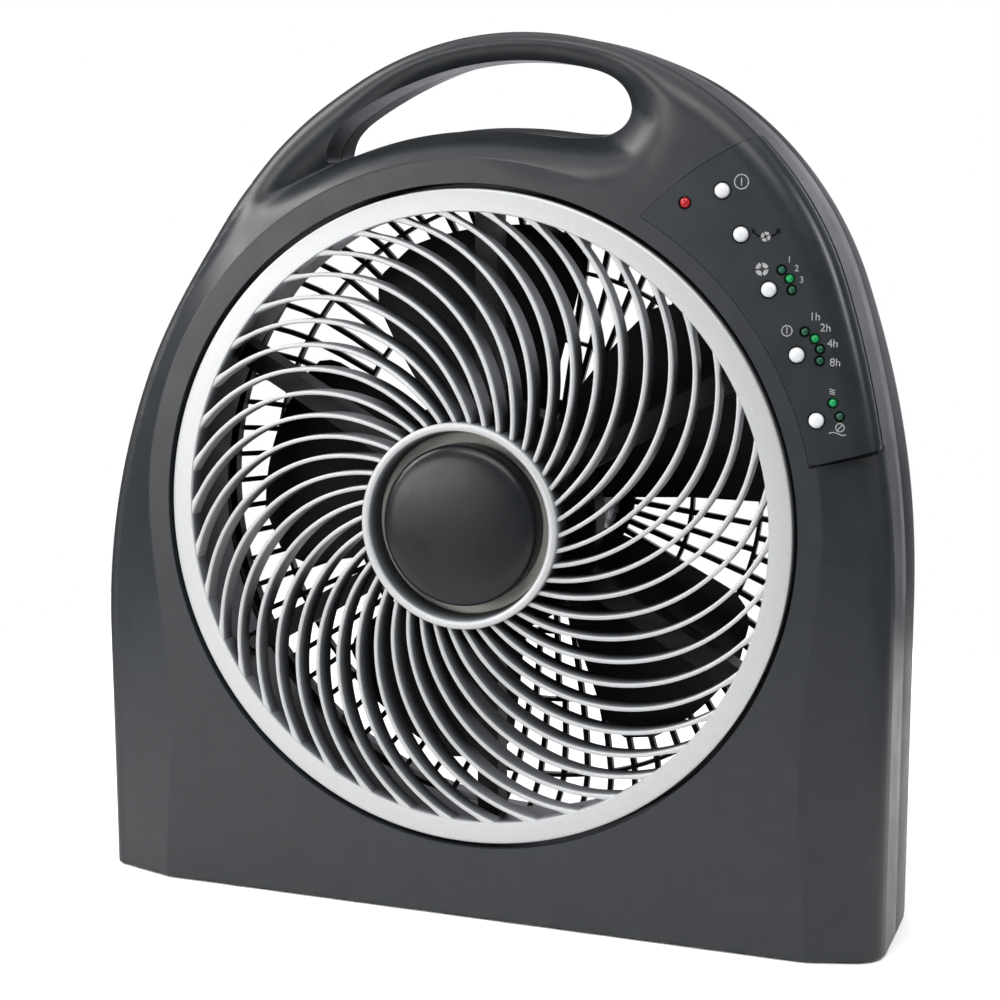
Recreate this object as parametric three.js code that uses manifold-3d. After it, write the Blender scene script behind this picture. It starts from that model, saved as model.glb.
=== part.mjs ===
// A 300 mm power fan with a turning louvre grille, as a three.js scene graph.
// Millimetres. X runs to the right, Y from the front to the back, Z up, and the fan stands on Z = 0.
import * as THREE from 'three';
import { mergeVertices } from 'three/addons/utils/BufferGeometryUtils.js';
import Module from 'manifold-3d';

const wasm = await Module();
wasm.setup();

// Body outline, seen from the front: straight sides and three tangent arcs over the top.
const HALF_WIDTH = 222.5;
const SHOULDER_Z = 173.5;
const OUTLINE_ARCS = [
  { radius: 540, sweep: 18, steps: 3 },
  { radius: 182, sweep: 115, steps: 11 },
  { radius: 381.6, sweep: 47, steps: 4 },
];
const BASE_Z = 1;
const WALL = 2.5;
const GAP = 0.3;

// Depths along Y, with the flat front face at 0.
const PARTING_Y = 54;
const REAR_FACE_Y = 105;
const BASE_EXTRA_DEPTH = 24;
const BEVEL_DEPTH = 6;
const CENTRE_Y = 67;

// Air path and turning grille.
const AXIS_Z = 214;
const OPENING_R = 175;
const DUCT_R = 167;
const REAR_OPENING_R = 188;
const RIM_R = 172;
const RIM_BORE_R = 160;
const HUB_R = 53.5;
const HUB_FRONT_Y = -11;
const DISH_Y = -3.3;
const CAP_R = 42;
const LOUVRES = 42;
const LOUVRE_ARC_R = 92.2;
const LOUVRE_ARC_OFFSET = 84.5;
const LOUVRE_DEPTH = 15;
const LOUVRE_THICKNESS = 2.4;
const REAR_RIBS = 36;

// Handle opening: between an arc round the fan's axis and one round the top of the body.
const HANDLE_LIP_R = 202;
const HANDLE_TOP_R = 168.5;
const HANDLE_EDGE_FRONT_Y = 38;
const HANDLE_EDGE_REAR_Y = 66;
const HANDLE_FLARE = 9;

// Control panel: a skin round the air opening, with buttons and lamps at X, Z.
const PANEL_INNER_R = 183;
const PANEL_EDGE_INSET = 6;
const PANEL_THICKNESS = 1.5;
const PANEL_FROM = 12.2;
const PANEL_TO = 59;
const BUTTON_R = 4.1;
const BUTTONS = {
  power: [134, 384],
  grille: [143.5, 363.2],
  speed: [157.6, 337],
  timer: [171.8, 306],
  mode: [182, 274.8],
};
const LAMP_R = 2.2;
const LAMPS = {
  speed_1: [163.6, 346.5],
  speed_2: [167.5, 342.4],
  speed_3: [168.7, 337],
  timer_1: [175.4, 317.2],
  timer_2: [180.3, 314],
  timer_3: [182.9, 309.1],
  timer_4: [182.9, 303.5],
  mode_1: [189.6, 283.5],
  mode_2: [193.1, 277.1],
};
const RECEIVER = { at: [115.5, 378.3], radius: 3.1 };
const BOARD_Y = 8.7;
const BOARD_THICKNESS = 1.6;

// Blade and its motor.
const BLADE_COUNT = 5;
const BLADE_TIP_R = 152;
const BLADE_HUB_R = 28;
const BLADE_FRONT_Y = 70;
const BLADE_REAR_Y = 94;
const SHAFT_R = 4;
const MOTOR_R = 44;
const MOTOR_BOLT_CIRCLE_R = 39;

// Fasteners and feet, at X, Z or X, Y.
const CASE_SCREWS = [[-204, 30], [204, 30], [-204, 190], [206, 200], [-128, 362], [118, 412]];
const SPIDER_SCREW_ANGLES = [90, 210, 330];
const SPIDER_SCREW_CIRCLE_R = 161.5;
const FEET = [[-150, 28], [150, 28], [-150, 108], [150, 108]];
const FOOT_R = 9;
const GLAND = [150, 20];

const CHARCOAL = { color: 0x45484b, roughness: 0.45, metalness: 0 };
const BLACK = { color: 0x17181a, roughness: 0.5, metalness: 0 };
const SILVER = { color: 0xc9cccf, roughness: 0.35, metalness: 0.6 };
const STEEL = { color: 0x9a9da1, roughness: 0.3, metalness: 1 };
const WHITE = { color: 0xe9eaea, roughness: 0.35, metalness: 0 };
const RUBBER = { color: 0x1b1b1b, roughness: 0.9, metalness: 0 };
const COPPER = { color: 0xb4693a, roughness: 0.4, metalness: 0.9 };
const BOARD = { color: 0x1f5a35, roughness: 0.6, metalness: 0 };
const GREEN_LENS = { color: 0x15a34a, roughness: 0.2, metalness: 0 };
const RED_LENS = { color: 0xb3262b, roughness: 0.2, metalness: 0 };

const root = new THREE.Group();
const fan = new THREE.Group();
fan.position.y = -CENTRE_Y;
root.add(fan);

// ---------------------------------------------------------------- solids

function toRadians(degrees) {
  return THREE.MathUtils.degToRad(degrees);
}

// A polar point round the fan's axis, as X, Z.
function polar(radius, degrees) {
  const angle = toRadians(degrees);
  return [radius * Math.cos(angle), AXIS_Z + radius * Math.sin(angle)];
}

function signedVolume(positions, triangles) {
  const a = new THREE.Vector3();
  const b = new THREE.Vector3();
  const c = new THREE.Vector3();
  let volume = 0;
  for (let i = 0; i < triangles.length; i += 3) {
    a.fromArray(positions, 3 * triangles[i]);
    b.fromArray(positions, 3 * triangles[i + 1]);
    c.fromArray(positions, 3 * triangles[i + 2]);
    volume += a.dot(b.cross(c)) / 6;
  }
  return volume;
}

// Turns a closed geometry into a solid that can be joined and cut.
function solidOf(geometry) {
  const bare = geometry.clone();
  bare.deleteAttribute('normal');
  bare.deleteAttribute('uv');
  const merged = mergeVertices(bare, 1e-3);
  const positions = merged.attributes.position.array;
  const index = merged.index.array;
  const kept = [];
  for (let i = 0; i < index.length; i += 3) {
    const [p, q, r] = [index[i], index[i + 1], index[i + 2]];
    if (p !== q && q !== r && r !== p) kept.push(p, q, r);
  }
  if (signedVolume(positions, kept) < 0) kept.reverse();
  const mesh = new wasm.Mesh({
    numProp: 3,
    vertProperties: Float32Array.from(positions),
    triVerts: Uint32Array.from(kept),
  });
  return new wasm.Manifold(mesh);
}

function geometryOf(solid) {
  const mesh = solid.getMesh();
  const geometry = new THREE.BufferGeometry();
  geometry.setAttribute('position', new THREE.BufferAttribute(mesh.vertProperties, 3));
  geometry.setIndex(new THREE.BufferAttribute(mesh.triVerts, 1));
  return geometry;
}

function addPiece(name, solid, look) {
  const geometry = geometryOf(solid);
  geometry.computeVertexNormals();
  const mesh = new THREE.Mesh(geometry, new THREE.MeshStandardMaterial(look));
  mesh.name = name;
  fan.add(mesh);
}

// A cylinder or cone along Y between two depths, round the point X, Z.
function drum([x, z], radius, fromY, toY, segments = 24, endRadius = radius) {
  const geometry = new THREE.CylinderGeometry(endRadius, radius, toY - fromY, segments);
  geometry.translate(x, (fromY + toY) / 2, z);
  return solidOf(geometry);
}

function block(size, centre) {
  const geometry = new THREE.BoxGeometry(...size);
  geometry.translate(...centre);
  return solidOf(geometry);
}

// A closed radius-depth profile turned round Y, about the point X, Z.
function turned(profile, segments = 24, [x, z] = [0, AXIS_Z]) {
  const points = profile.map(([radius, y]) => new THREE.Vector2(radius, y));
  if (profile[0][0] > 0) points.push(points[0].clone());
  const geometry = new THREE.LatheGeometry(points, segments);
  geometry.translate(x, 0, z);
  return solidOf(geometry);
}

function tube(centre, inner, outer, fromY, toY, segments = 24) {
  const bore = drum(centre, inner, fromY - 1, toY + 1, segments);
  return drum(centre, outer, fromY, toY, segments).subtract(bore);
}

// Joins a stack of outlines, each a list of [x, y, z] with the same count, into one solid.
function loft(rings) {
  const count = rings[0].length;
  const positions = rings.flat(2);
  const index = [];
  for (let level = 0; level < rings.length - 1; level += 1) {
    for (let i = 0; i < count; i += 1) {
      const a = level * count + i;
      const b = level * count + ((i + 1) % count);
      index.push(a, b, b + count, a, b + count, a + count);
    }
  }
  const flat = rings[0].map(([x, , z]) => new THREE.Vector2(x, z));
  const last = (rings.length - 1) * count;
  for (const [a, b, c] of THREE.ShapeUtils.triangulateShape(flat, [])) index.push(a, c, b);
  const flatEnd = rings[rings.length - 1].map(([x, , z]) => new THREE.Vector2(x, z));
  for (const [a, b, c] of THREE.ShapeUtils.triangulateShape(flatEnd, [])) {
    index.push(last + a, last + b, last + c);
  }
  const geometry = new THREE.BufferGeometry();
  geometry.setAttribute('position', new THREE.Float32BufferAttribute(positions, 3));
  geometry.setIndex(index);
  return solidOf(geometry);
}

// A plate in the X, Z plane between two depths.
function plate(outline, fromY, toY) {
  const at = (y) => outline.map(([x, z]) => [x, y, z]);
  return loft([at(fromY), at(toY)]);
}

function aroundAxis(solid, degrees) {
  return solid.translate([0, 0, -AXIS_Z]).rotate([0, -degrees, 0]).translate([0, 0, AXIS_Z]);
}

// ---------------------------------------------------------------- outlines

// The body outline from the right foot over the top to the left foot, moved inwards by inset.
function bodyOutline(inset, baseZ = BASE_Z) {
  const points = [[HALF_WIDTH - inset, baseZ], [HALF_WIDTH - inset, SHOULDER_Z]];
  let x = HALF_WIDTH;
  let z = SHOULDER_Z;
  let heading = 90;
  for (const { radius, sweep, steps } of OUTLINE_ARCS) {
    const turn = toRadians(heading);
    const centreX = x - radius * Math.sin(turn);
    const centreZ = z + radius * Math.cos(turn);
    for (let i = 1; i <= steps; i += 1) {
      const angle = toRadians(heading - 90 + (sweep * i) / steps);
      points.push([centreX + (radius - inset) * Math.cos(angle), centreZ + (radius - inset) * Math.sin(angle)]);
    }
    heading += sweep;
    const end = toRadians(heading - 90);
    x = centreX + radius * Math.cos(end);
    z = centreZ + radius * Math.sin(end);
  }
  const left = points[points.length - 1][0];
  points.push([left, baseZ]);
  return points;
}

// The centre of the outline's large top arc.
function topArcCentre() {
  const first = OUTLINE_ARCS[0];
  const turn = toRadians(first.sweep);
  const x = HALF_WIDTH - first.radius * (1 - Math.cos(turn));
  const z = SHOULDER_Z + first.radius * Math.sin(turn);
  const radius = OUTLINE_ARCS[1].radius;
  return [x - radius * Math.cos(turn), z - radius * Math.sin(turn)];
}

// 1 where the front face slopes back to the sides, 0 over the control panel and the handle.
function bevelShare([x, z]) {
  const degrees = THREE.MathUtils.radToDeg(Math.atan2(z - AXIS_Z, x));
  const angle = degrees < -90 ? degrees + 360 : degrees;
  const right = THREE.MathUtils.smoothstep(12 - angle, 0, 4);
  const left = THREE.MathUtils.smoothstep(angle, 128, 142);
  return Math.max(right, left);
}

// The outline's point moved in to the crease where the flat front face ends.
function creasePoint([x, z]) {
  const reach = Math.hypot(x, z - AXIS_Z);
  if (z < AXIS_Z) return [Math.sign(x) * 180, z];
  return [(x * 187) / reach, AXIS_Z + ((z - AXIS_Z) * 187) / reach];
}

function frontRings(thickness) {
  const edge = bodyOutline(8 + thickness, BASE_Z + thickness);
  const shares = bodyOutline(8).map(bevelShare);
  const face = edge.map((point, i) => {
    const [x, z] = creasePoint(point);
    const share = shares[i];
    return [point[0] + (x - point[0]) * share, thickness, point[1] + (z - point[1]) * share];
  });
  const bevel = edge.map(([x, z], i) => [x, thickness + 0.4 + BEVEL_DEPTH * shares[i], z]);
  const side = bodyOutline(3 + thickness, BASE_Z + thickness);
  const corner = side.map(([x, z], i) => [x, thickness + 6 + BEVEL_DEPTH * shares[i], z]);
  const widest = bodyOutline(thickness, BASE_Z + thickness);
  const back = widest.map(([x, z]) => [x, PARTING_Y + (thickness > 0 ? 1 : 0), z]);
  return [face, bevel, corner, back];
}

function rearDepth(z) {
  const share = Math.max(0, (AXIS_Z - z) / AXIS_Z);
  return BASE_EXTRA_DEPTH * share * share;
}

function rearRings(thickness) {
  const start = PARTING_Y + GAP - (thickness > 0 ? 1 : 0);
  const ring = (inset, y, extra) =>
    bodyOutline(inset + thickness, BASE_Z + thickness).map(([x, z]) => [
      x,
      y - thickness * (y > start) + extra * rearDepth(z),
      z,
    ]);
  return [ring(0, start, 0), ring(0, 78, 0.2), ring(8, 94, 0.7), ring(22, REAR_FACE_Y, 1)];
}

// The handle opening's edge, moved outwards by grow.
function handleOutline(grow = 0) {
  const [topX, topZ] = topArcCentre();
  const topR = HANDLE_TOP_R + grow;
  const lipR = HANDLE_LIP_R - grow;
  const shape = new THREE.Shape();
  shape.absarc(0, AXIS_Z, lipR, toRadians(113.5), toRadians(84), true);
  shape.bezierCurveTo(48, 412 - grow, 77 + grow, 404 - grow, 77.5 + grow, 425);
  shape.bezierCurveTo(77 + grow, 438 + grow, 60, 445 + grow, 46, 449.5 + grow);
  shape.absarc(topX, topZ, topR, toRadians(82), toRadians(129.5), false);
  shape.quadraticCurveTo(-91 - grow, 408, -88 - grow, 400);
  const points = shape.getPoints(5).map(({ x, y }) => [x, y]);
  return points.filter(([x, z], i) => {
    const [nextX, nextZ] = points[(i + 1) % points.length];
    return Math.hypot(nextX - x, nextZ - z) > 1;
  });
}

// The tapered space round the handle opening, from its narrow edge to a flared mouth.
function handleSpace(edgeY, mouthY, grow) {
  const at = (outline, y) => outline.map(([x, z]) => [x, y, z]);
  const narrow = handleOutline(grow);
  const wide = narrow.map(([x, z]) => {
    const [cx, cz] = [-6, 428];
    const reach = Math.hypot(x - cx, (z - cz) * 3);
    return [x + ((x - cx) / reach) * HANDLE_FLARE, z + (((z - cz) * 3) / reach) * HANDLE_FLARE];
  });
  return loft([at(narrow, edgeY), at(wide, mouthY)]);
}

// ---------------------------------------------------------------- shells

function screwBosses(fromY, toY, radius) {
  return CASE_SCREWS.map((at) => drum(at, radius, fromY, toY, 8));
}

function footPocket([x, y]) {
  const geometry = new THREE.CylinderGeometry(FOOT_R + GAP, FOOT_R + GAP, 2 * (1 + GAP), 16);
  geometry.rotateX(Math.PI / 2);
  geometry.translate(x, y, BASE_Z);
  return solidOf(geometry);
}

function frontShell() {
  const outside = loft(frontRings(0));
  let shell = outside.subtract(loft(frontRings(WALL)));
  shell = shell.add(tube([0, AXIS_Z], OPENING_R, OPENING_R + WALL, 0.5, 22, 36));
  shell = shell.add(tube([0, AXIS_Z], DUCT_R, OPENING_R + WALL, 22, 22 + WALL, 36));
  shell = shell.add(tube([0, AXIS_Z], DUCT_R, DUCT_R + WALL, 22, PARTING_Y, 36));
  shell = shell.add(handleSpace(HANDLE_EDGE_FRONT_Y, 0, WALL).intersect(outside));
  shell = shell.add(plate(handleOutline(WALL), HANDLE_EDGE_FRONT_Y - 3, PARTING_Y).intersect(outside));
  for (const boss of screwBosses(1, PARTING_Y, 5)) shell = shell.add(boss.intersect(outside));
  shell = shell.subtract(drum([0, AXIS_Z], OPENING_R, -1, 22, 36));
  shell = shell.subtract(drum([0, AXIS_Z], DUCT_R, 0, PARTING_Y + 1, 36));
  for (const angle of SPIDER_SCREW_ANGLES) {
    const at = polar(SPIDER_SCREW_CIRCLE_R, angle);
    shell = shell.add(drum(at, 6, 46 + GAP, PARTING_Y, 8));
    shell = shell.subtract(drum(at, 2.2, 46, PARTING_Y + 1, 8));
  }
  shell = shell.subtract(handleSpace(HANDLE_EDGE_FRONT_Y, -1, 0));
  shell = shell.subtract(plate(handleOutline(), HANDLE_EDGE_FRONT_Y - 1, PARTING_Y + 2));
  for (const hole of screwBosses(38, PARTING_Y + 1, 2.2)) shell = shell.subtract(hole);
  for (const foot of FEET.slice(0, 2)) shell = shell.subtract(footPocket(foot));
  shell = shell.subtract(plate(panelOutline(-GAP), -1, PANEL_THICKNESS + GAP));
  shell = shell.subtract(plate(panelOutline(2), -1, WALL + 8));
  return shell;
}

function rearShell() {
  const outside = loft(rearRings(0));
  let shell = outside.subtract(loft(rearRings(WALL)));
  shell = shell.add(tube([0, AXIS_Z], REAR_OPENING_R, REAR_OPENING_R + WALL, 88, 135, 36).intersect(outside));
  shell = shell.add(handleSpace(HANDLE_EDGE_REAR_Y, REAR_FACE_Y + 6, WALL).intersect(outside));
  shell = shell.add(plate(handleOutline(WALL), PARTING_Y + GAP, HANDLE_EDGE_REAR_Y + 3).intersect(outside));
  for (const boss of screwBosses(PARTING_Y + GAP, 125, 6.5)) shell = shell.add(boss.intersect(outside));
  shell = shell.subtract(drum([0, AXIS_Z], REAR_OPENING_R, 50, 140, 36));
  shell = shell.subtract(handleSpace(HANDLE_EDGE_REAR_Y, REAR_FACE_Y + 6, 0));
  shell = shell.subtract(plate(handleOutline(), 50, HANDLE_EDGE_REAR_Y + 1));
  for (const hole of screwBosses(50, 70, 2.2)) shell = shell.subtract(hole);
  for (const counterbore of screwBosses(66, 140, 4.6)) shell = shell.subtract(counterbore);
  for (const foot of FEET.slice(2)) shell = shell.subtract(footPocket(foot));
  for (const post of boardPosts()) shell = shell.add(post);
  return shell.subtract(drum(GLAND, 7 + GAP, 100, 140, 20));
}

// ---------------------------------------------------------------- turning grille

// One louvre: an arc from the hub to the rim, deeper than it is wide, bulging to the front.
function louvre(index) {
  const turn = 78.3 + (360 / LOUVRES) * index;
  const [centreX, centreZ] = polar(LOUVRE_ARC_OFFSET, turn);
  const steps = 3;
  const ringAt = (radius) => {
    const cosine = (radius ** 2 + LOUVRE_ARC_OFFSET ** 2 - LOUVRE_ARC_R ** 2);
    const offset = Math.acos(cosine / (2 * radius * LOUVRE_ARC_OFFSET));
    const [x, z] = polar(radius, turn - THREE.MathUtils.radToDeg(offset));
    const normalX = (x - centreX) / LOUVRE_ARC_R;
    const normalZ = (z - centreZ) / LOUVRE_ARC_R;
    const share = (radius - HUB_R) / (RIM_BORE_R - HUB_R);
    const front = -8 + 8 * share;
    const half = LOUVRE_THICKNESS / 2;
    const back = front + LOUVRE_DEPTH - 6 * share;
    return [[-half, front], [half, front], [half, back], [-half, back]].map(([side, y]) => [
      x + normalX * side,
      y,
      z + normalZ * side,
    ]);
  };
  const rings = [];
  for (let i = 0; i <= steps; i += 1) {
    rings.push(ringAt(HUB_R - 1.2 + ((RIM_BORE_R - HUB_R + 3.2) * i) / steps));
  }
  return sweptBar(rings);
}

// A bar through four-cornered sections.
function sweptBar(sections) {
  const index = [];
  for (let level = 0; level < sections.length - 1; level += 1) {
    for (let side = 0; side < 4; side += 1) {
      const a = 4 * level + side;
      const b = 4 * level + ((side + 1) % 4);
      index.push(a, b, b + 4, a, b + 4, a + 4);
    }
  }
  const end = 4 * (sections.length - 1);
  index.push(0, 2, 1, 0, 3, 2, end, end + 1, end + 2, end, end + 2, end + 3);
  const geometry = new THREE.BufferGeometry();
  geometry.setAttribute('position', new THREE.Float32BufferAttribute(sections.flat(2), 3));
  geometry.setIndex(index);
  return solidOf(geometry);
}

function turningGrille() {
  const rim = turned([[RIM_R, 0.5], [RIM_R, 8], [RIM_BORE_R, 11], [RIM_BORE_R, -1.5]], LOUVRES);
  const hub = turned([
    [0, DISH_Y], [46.4, DISH_Y], [49.6, HUB_FRONT_Y], [HUB_R, HUB_FRONT_Y],
    [HUB_R, 8], [50.5, 8], [50.5, 0], [0, 0],
  ], LOUVRES);
  const boss = drum([0, AXIS_Z], 9, -1, 9, 16);
  const louvres = Array.from({ length: LOUVRES }, (_, index) => louvre(index));
  const bore = drum([0, AXIS_Z], 3.5 + GAP, 0.5, 12, 16);
  return wasm.Manifold.union([rim, hub, boss, ...louvres]).subtract(bore);
}

function hubCap() {
  return turned([
    [0, -12], [30, -11.9], [39, -11.2], [CAP_R, -9.5], [CAP_R, DISH_Y - GAP], [0, DISH_Y - GAP],
  ], 36);
}

// ---------------------------------------------------------------- grille support and drive

function spider() {
  let body = turned([[0, 39], [64, 39], [64, 24], [61.5, 24], [61.5, 36], [0, 36]], 36);
  for (let angle = 30; angle < 390; angle += 60) {
    const length = DUCT_R * Math.cos(Math.PI / 36) - GAP - 0.2 - 58;
    const arm = block([length, 12, 15], [58 + length / 2, 40, AXIS_Z]);
    body = body.add(aroundAxis(arm, angle));
  }
  for (const angle of SPIDER_SCREW_ANGLES) {
    body = body.subtract(drum(polar(SPIDER_SCREW_CIRCLE_R, angle), 2.2, 30, 50, 8));
  }
  return body;
}

function screw(at, headR, headFrom, headTo, shankTo, shankR = 1.9) {
  const head = drum(at, headR, Math.min(headFrom, headTo), Math.max(headFrom, headTo), 8);
  const shank = drum(at, shankR, Math.min(headTo, shankTo), Math.max(headTo, shankTo), 8);
  return head.add(shank);
}

function bladeSection(radius, thickness) {
  const share = (radius - BLADE_HUB_R) / (BLADE_TIP_R - BLADE_HUB_R);
  const tipFade = THREE.MathUtils.smoothstep(share, 0.82, 1);
  const leading = 2 + 7 * tipFade;
  const trailing = 63 - 15 * share - 9 * tipFade;
  const points = [];
  const stations = 3;
  for (let i = 0; i <= stations; i += 1) {
    const t = i / stations;
    const [x, z] = polar(radius, leading + (trailing - leading) * t);
    const y = BLADE_REAR_Y + (BLADE_FRONT_Y - BLADE_REAR_Y) * t - 5 * Math.sin(Math.PI * t);
    points.push([x, y, z]);
  }
  const behind = points.map(([x, y, z]) => [x, y + thickness, z]);
  return [...points, ...behind.reverse()];
}

function bladeWing() {
  const radii = [BLADE_HUB_R - 4, 60, 95, 125, 142, BLADE_TIP_R];
  const sections = radii.map((radius) => bladeSection(radius, 2));
  const count = sections[0].length;
  const index = [];
  for (let level = 0; level < sections.length - 1; level += 1) {
    for (let i = 0; i < count; i += 1) {
      const a = level * count + i;
      const b = level * count + ((i + 1) % count);
      index.push(a, b, b + count, a, b + count, a + count);
    }
  }
  const last = (sections.length - 1) * count;
  for (let i = 0; i < count / 2 - 1; i += 1) {
    const [a, b, c, d] = [i, i + 1, count - 2 - i, count - 1 - i];
    index.push(a, c, b, a, d, c);
    index.push(last + a, last + b, last + c, last + a, last + c, last + d);
  }
  const geometry = new THREE.BufferGeometry();
  geometry.setAttribute('position', new THREE.Float32BufferAttribute(sections.flat(2), 3));
  geometry.setIndex(index);
  return solidOf(geometry);
}

function fanBlade() {
  const wing = bladeWing();
  const wings = [];
  for (let i = 0; i < BLADE_COUNT; i += 1) wings.push(aroundAxis(wing, (360 / BLADE_COUNT) * i));
  const hub = turned([[0, 68], [24, 68], [BLADE_HUB_R, 71], [BLADE_HUB_R, 96], [0, 96]], 30);
  const bore = drum([0, AXIS_Z], SHAFT_R + GAP, 60, 98, 16);
  return wasm.Manifold.union([hub, ...wings]).subtract(bore);
}

// ---------------------------------------------------------------- motor

function boltHoles(radius) {
  const holes = [];
  for (let angle = 45; angle < 405; angle += 90) {
    holes.push(drum(polar(MOTOR_BOLT_CIRCLE_R, angle), radius, 90, 150, 8));
  }
  return holes;
}

function drilled(solid, radius = 1.8 + GAP) {
  return boltHoles(radius).reduce((body, hole) => body.subtract(hole), solid);
}

function frontBell() {
  return drilled(turned([
    [8.3, 99], [36, 99], [MOTOR_R, 103], [MOTOR_R, 111.7],
    [MOTOR_R - 2.5, 111.7], [MOTOR_R - 2.5, 104.5], [35, 101.5], [8.3, 101.5],
  ]));
}

function rearBell() {
  return drilled(turned([
    [8.3, 137.7], [36, 137.7], [MOTOR_R, 134], [MOTOR_R, 124.3],
    [MOTOR_R - 2.5, 124.3], [MOTOR_R - 2.5, 132.5], [35, 135.2], [8.3, 135.2],
  ]));
}

function rearGrille() {
  const ring = (radius, y) => turned([
    [radius + 1.6, y - 2], [radius + 1.6, y + 2], [radius - 1.6, y + 2], [radius - 1.6, y - 2],
  ], REAR_RIBS);
  const path = [[185, 98], [169, 121], [126, 134.5], [48, 139]];
  const ribs = [];
  for (let i = 0; i < REAR_RIBS; i += 1) {
    const sections = path.map(([radius, y]) => [
      [radius, y - 2, AXIS_Z - 1.1], [radius, y - 2, AXIS_Z + 1.1],
      [radius, y + 2, AXIS_Z + 1.1], [radius, y + 2, AXIS_Z - 1.1],
    ]);
    ribs.push(aroundAxis(sweptBar(sections), (360 / REAR_RIBS) * i));
  }
  const disc = drilled(turned([[0, 138], [51, 138], [51, 141], [20, 141.5], [16, 146], [0, 146]], REAR_RIBS));
  const rim = turned([[186.9, 94], [186.9, 101], [182, 101], [182, 94]], REAR_RIBS);
  return wasm.Manifold.union([rim, disc, ring(126, 134.5), ...ribs]);
}

// ---------------------------------------------------------------- control panel

// A sector between two radii round the air opening, its outer edge following the body outline.
function panelOutline(inset) {
  const points = [];
  const inner = PANEL_INNER_R + inset;
  const from = PANEL_FROM + (inset * 180) / (Math.PI * 200);
  const to = PANEL_TO - (inset * 180) / (Math.PI * 110);
  for (let i = 0; i <= 8; i += 1) points.push(polar(inner, to + ((from - to) * i) / 8));
  const outer = bodyOutline(PANEL_EDGE_INSET + inset).filter((point) => {
    const angle = THREE.MathUtils.radToDeg(Math.atan2(point[1] - AXIS_Z, point[0]));
    return angle > PANEL_FROM + 1.5 && angle < PANEL_TO - 8;
  });
  points.push([208.5 - 1.2 * inset, 259.9 + inset], ...outer, [147.5, 406 - 1.3 * inset]);
  return points;
}

function boardPosts() {
  return [[-50, 74], [-50, 106], [20, 74], [20, 106]].map(([x, y]) => block([6, 6, 6], [x, y, 5.5]));
}

function controlPanel() {
  let skin = plate(panelOutline(0), 0, PANEL_THICKNESS);
  for (const [x, z] of [[125, 370], [163, 325], [193, 268]]) {
    skin = skin.add(drum([x, z], 2.2, PANEL_THICKNESS - 0.5, BOARD_Y - GAP, 12));
  }
  for (const at of Object.values(BUTTONS)) skin = skin.subtract(drum(at, BUTTON_R + GAP, -1, 3, 12));
  for (const at of Object.values(LAMPS)) skin = skin.subtract(drum(at, LAMP_R + GAP, -1, 3, 8));
  return skin.subtract(drum(RECEIVER.at, RECEIVER.radius + GAP, -1, 3, 8));
}

function button([x, z]) {
  return turned([
    [0, -2.6], [2.6, -2.3], [BUTTON_R, -1.2], [BUTTON_R, 1.8], [BUTTON_R + 0.9, 1.8],
    [BUTTON_R + 0.9, 3.2], [1.5, 3.2], [1.5, 7.2], [0, 7.2],
  ], 12, [x, z]);
}

function lamp(at, radius) {
  return turned([
    [0, 0.2], [radius * 0.7, 0.45], [radius, 1.1], [radius, BOARD_Y - GAP], [0, BOARD_Y - GAP],
  ], 8, at);
}

function capsule([x, y], radius, fromZ, toZ) {
  const geometry = new THREE.CylinderGeometry(radius, radius, toZ - fromZ, 16);
  geometry.rotateX(Math.PI / 2);
  geometry.translate(x, y, (fromZ + toZ) / 2);
  return solidOf(geometry);
}

function gland() {
  return turned([[3.4, 112], [9.5, 112], [9.5, 116], [7, 116], [7, 128.5], [9, 128.5], [9, 133], [5, 136], [3.4, 136]],
    20, GLAND);
}

// ---------------------------------------------------------------- assembly

addPiece('front_shell', frontShell(), CHARCOAL);
addPiece('rear_shell', rearShell(), CHARCOAL);
addPiece('rear_grille', rearGrille(), BLACK);
addPiece('turning_grille', turningGrille(), SILVER);
addPiece('grille_hub_cap', hubCap(), CHARCOAL);
addPiece('grille_drive_shaft', drum([0, AXIS_Z], 3.5, 1, 15.7, 16), STEEL);
addPiece('grille_motor', turned([[0, 16], [24, 16], [25, 17], [25, 35.7], [0, 35.7]]), STEEL);
addPiece('grille_spider', spider(), BLACK);
SPIDER_SCREW_ANGLES.forEach((angle, i) => {
  addPiece(`spider_screw_${i + 1}`, screw(polar(SPIDER_SCREW_CIRCLE_R, angle), 3.8, 31.2, 33.7, 52), STEEL);
});

addPiece('fan_blade', fanBlade(), BLACK);
addPiece('blade_nut', turned([[0, 57], [9, 58], [12, 62], [12, 67.7], [4.3, 67.7], [4.3, 60.7], [0, 60.7]]), BLACK);
addPiece('motor_shaft', drum([0, AXIS_Z], SHAFT_R, 61, 134, 16), STEEL);
addPiece('motor_rotor', tube([0, AXIS_Z], SHAFT_R + GAP, 23.4, 110, 126), STEEL);
addPiece('motor_stator', drilled(tube([0, AXIS_Z], 23.8, MOTOR_R, 112, 124)), STEEL);
addPiece('winding_front', tube([0, AXIS_Z], 26, 36, 105, 111.7), COPPER);
addPiece('winding_rear', tube([0, AXIS_Z], 26, 34.5, 124.3, 131), COPPER);
addPiece('motor_front_bell', frontBell(), STEEL);
addPiece('motor_rear_bell', rearBell(), STEEL);
addPiece('bearing_front', tube([0, AXIS_Z], SHAFT_R + GAP, 8, 98, 104), STEEL);
addPiece('bearing_rear', tube([0, AXIS_Z], SHAFT_R + GAP, 8, 131.5, 137.6), STEEL);
[45, 135, 225, 315].forEach((angle, i) => {
  const at = polar(MOTOR_BOLT_CIRCLE_R, angle);
  addPiece(`motor_bolt_${i + 1}`, screw(at, 3.6, 144.1, 141.6, 96, 1.8), STEEL);
});

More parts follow.
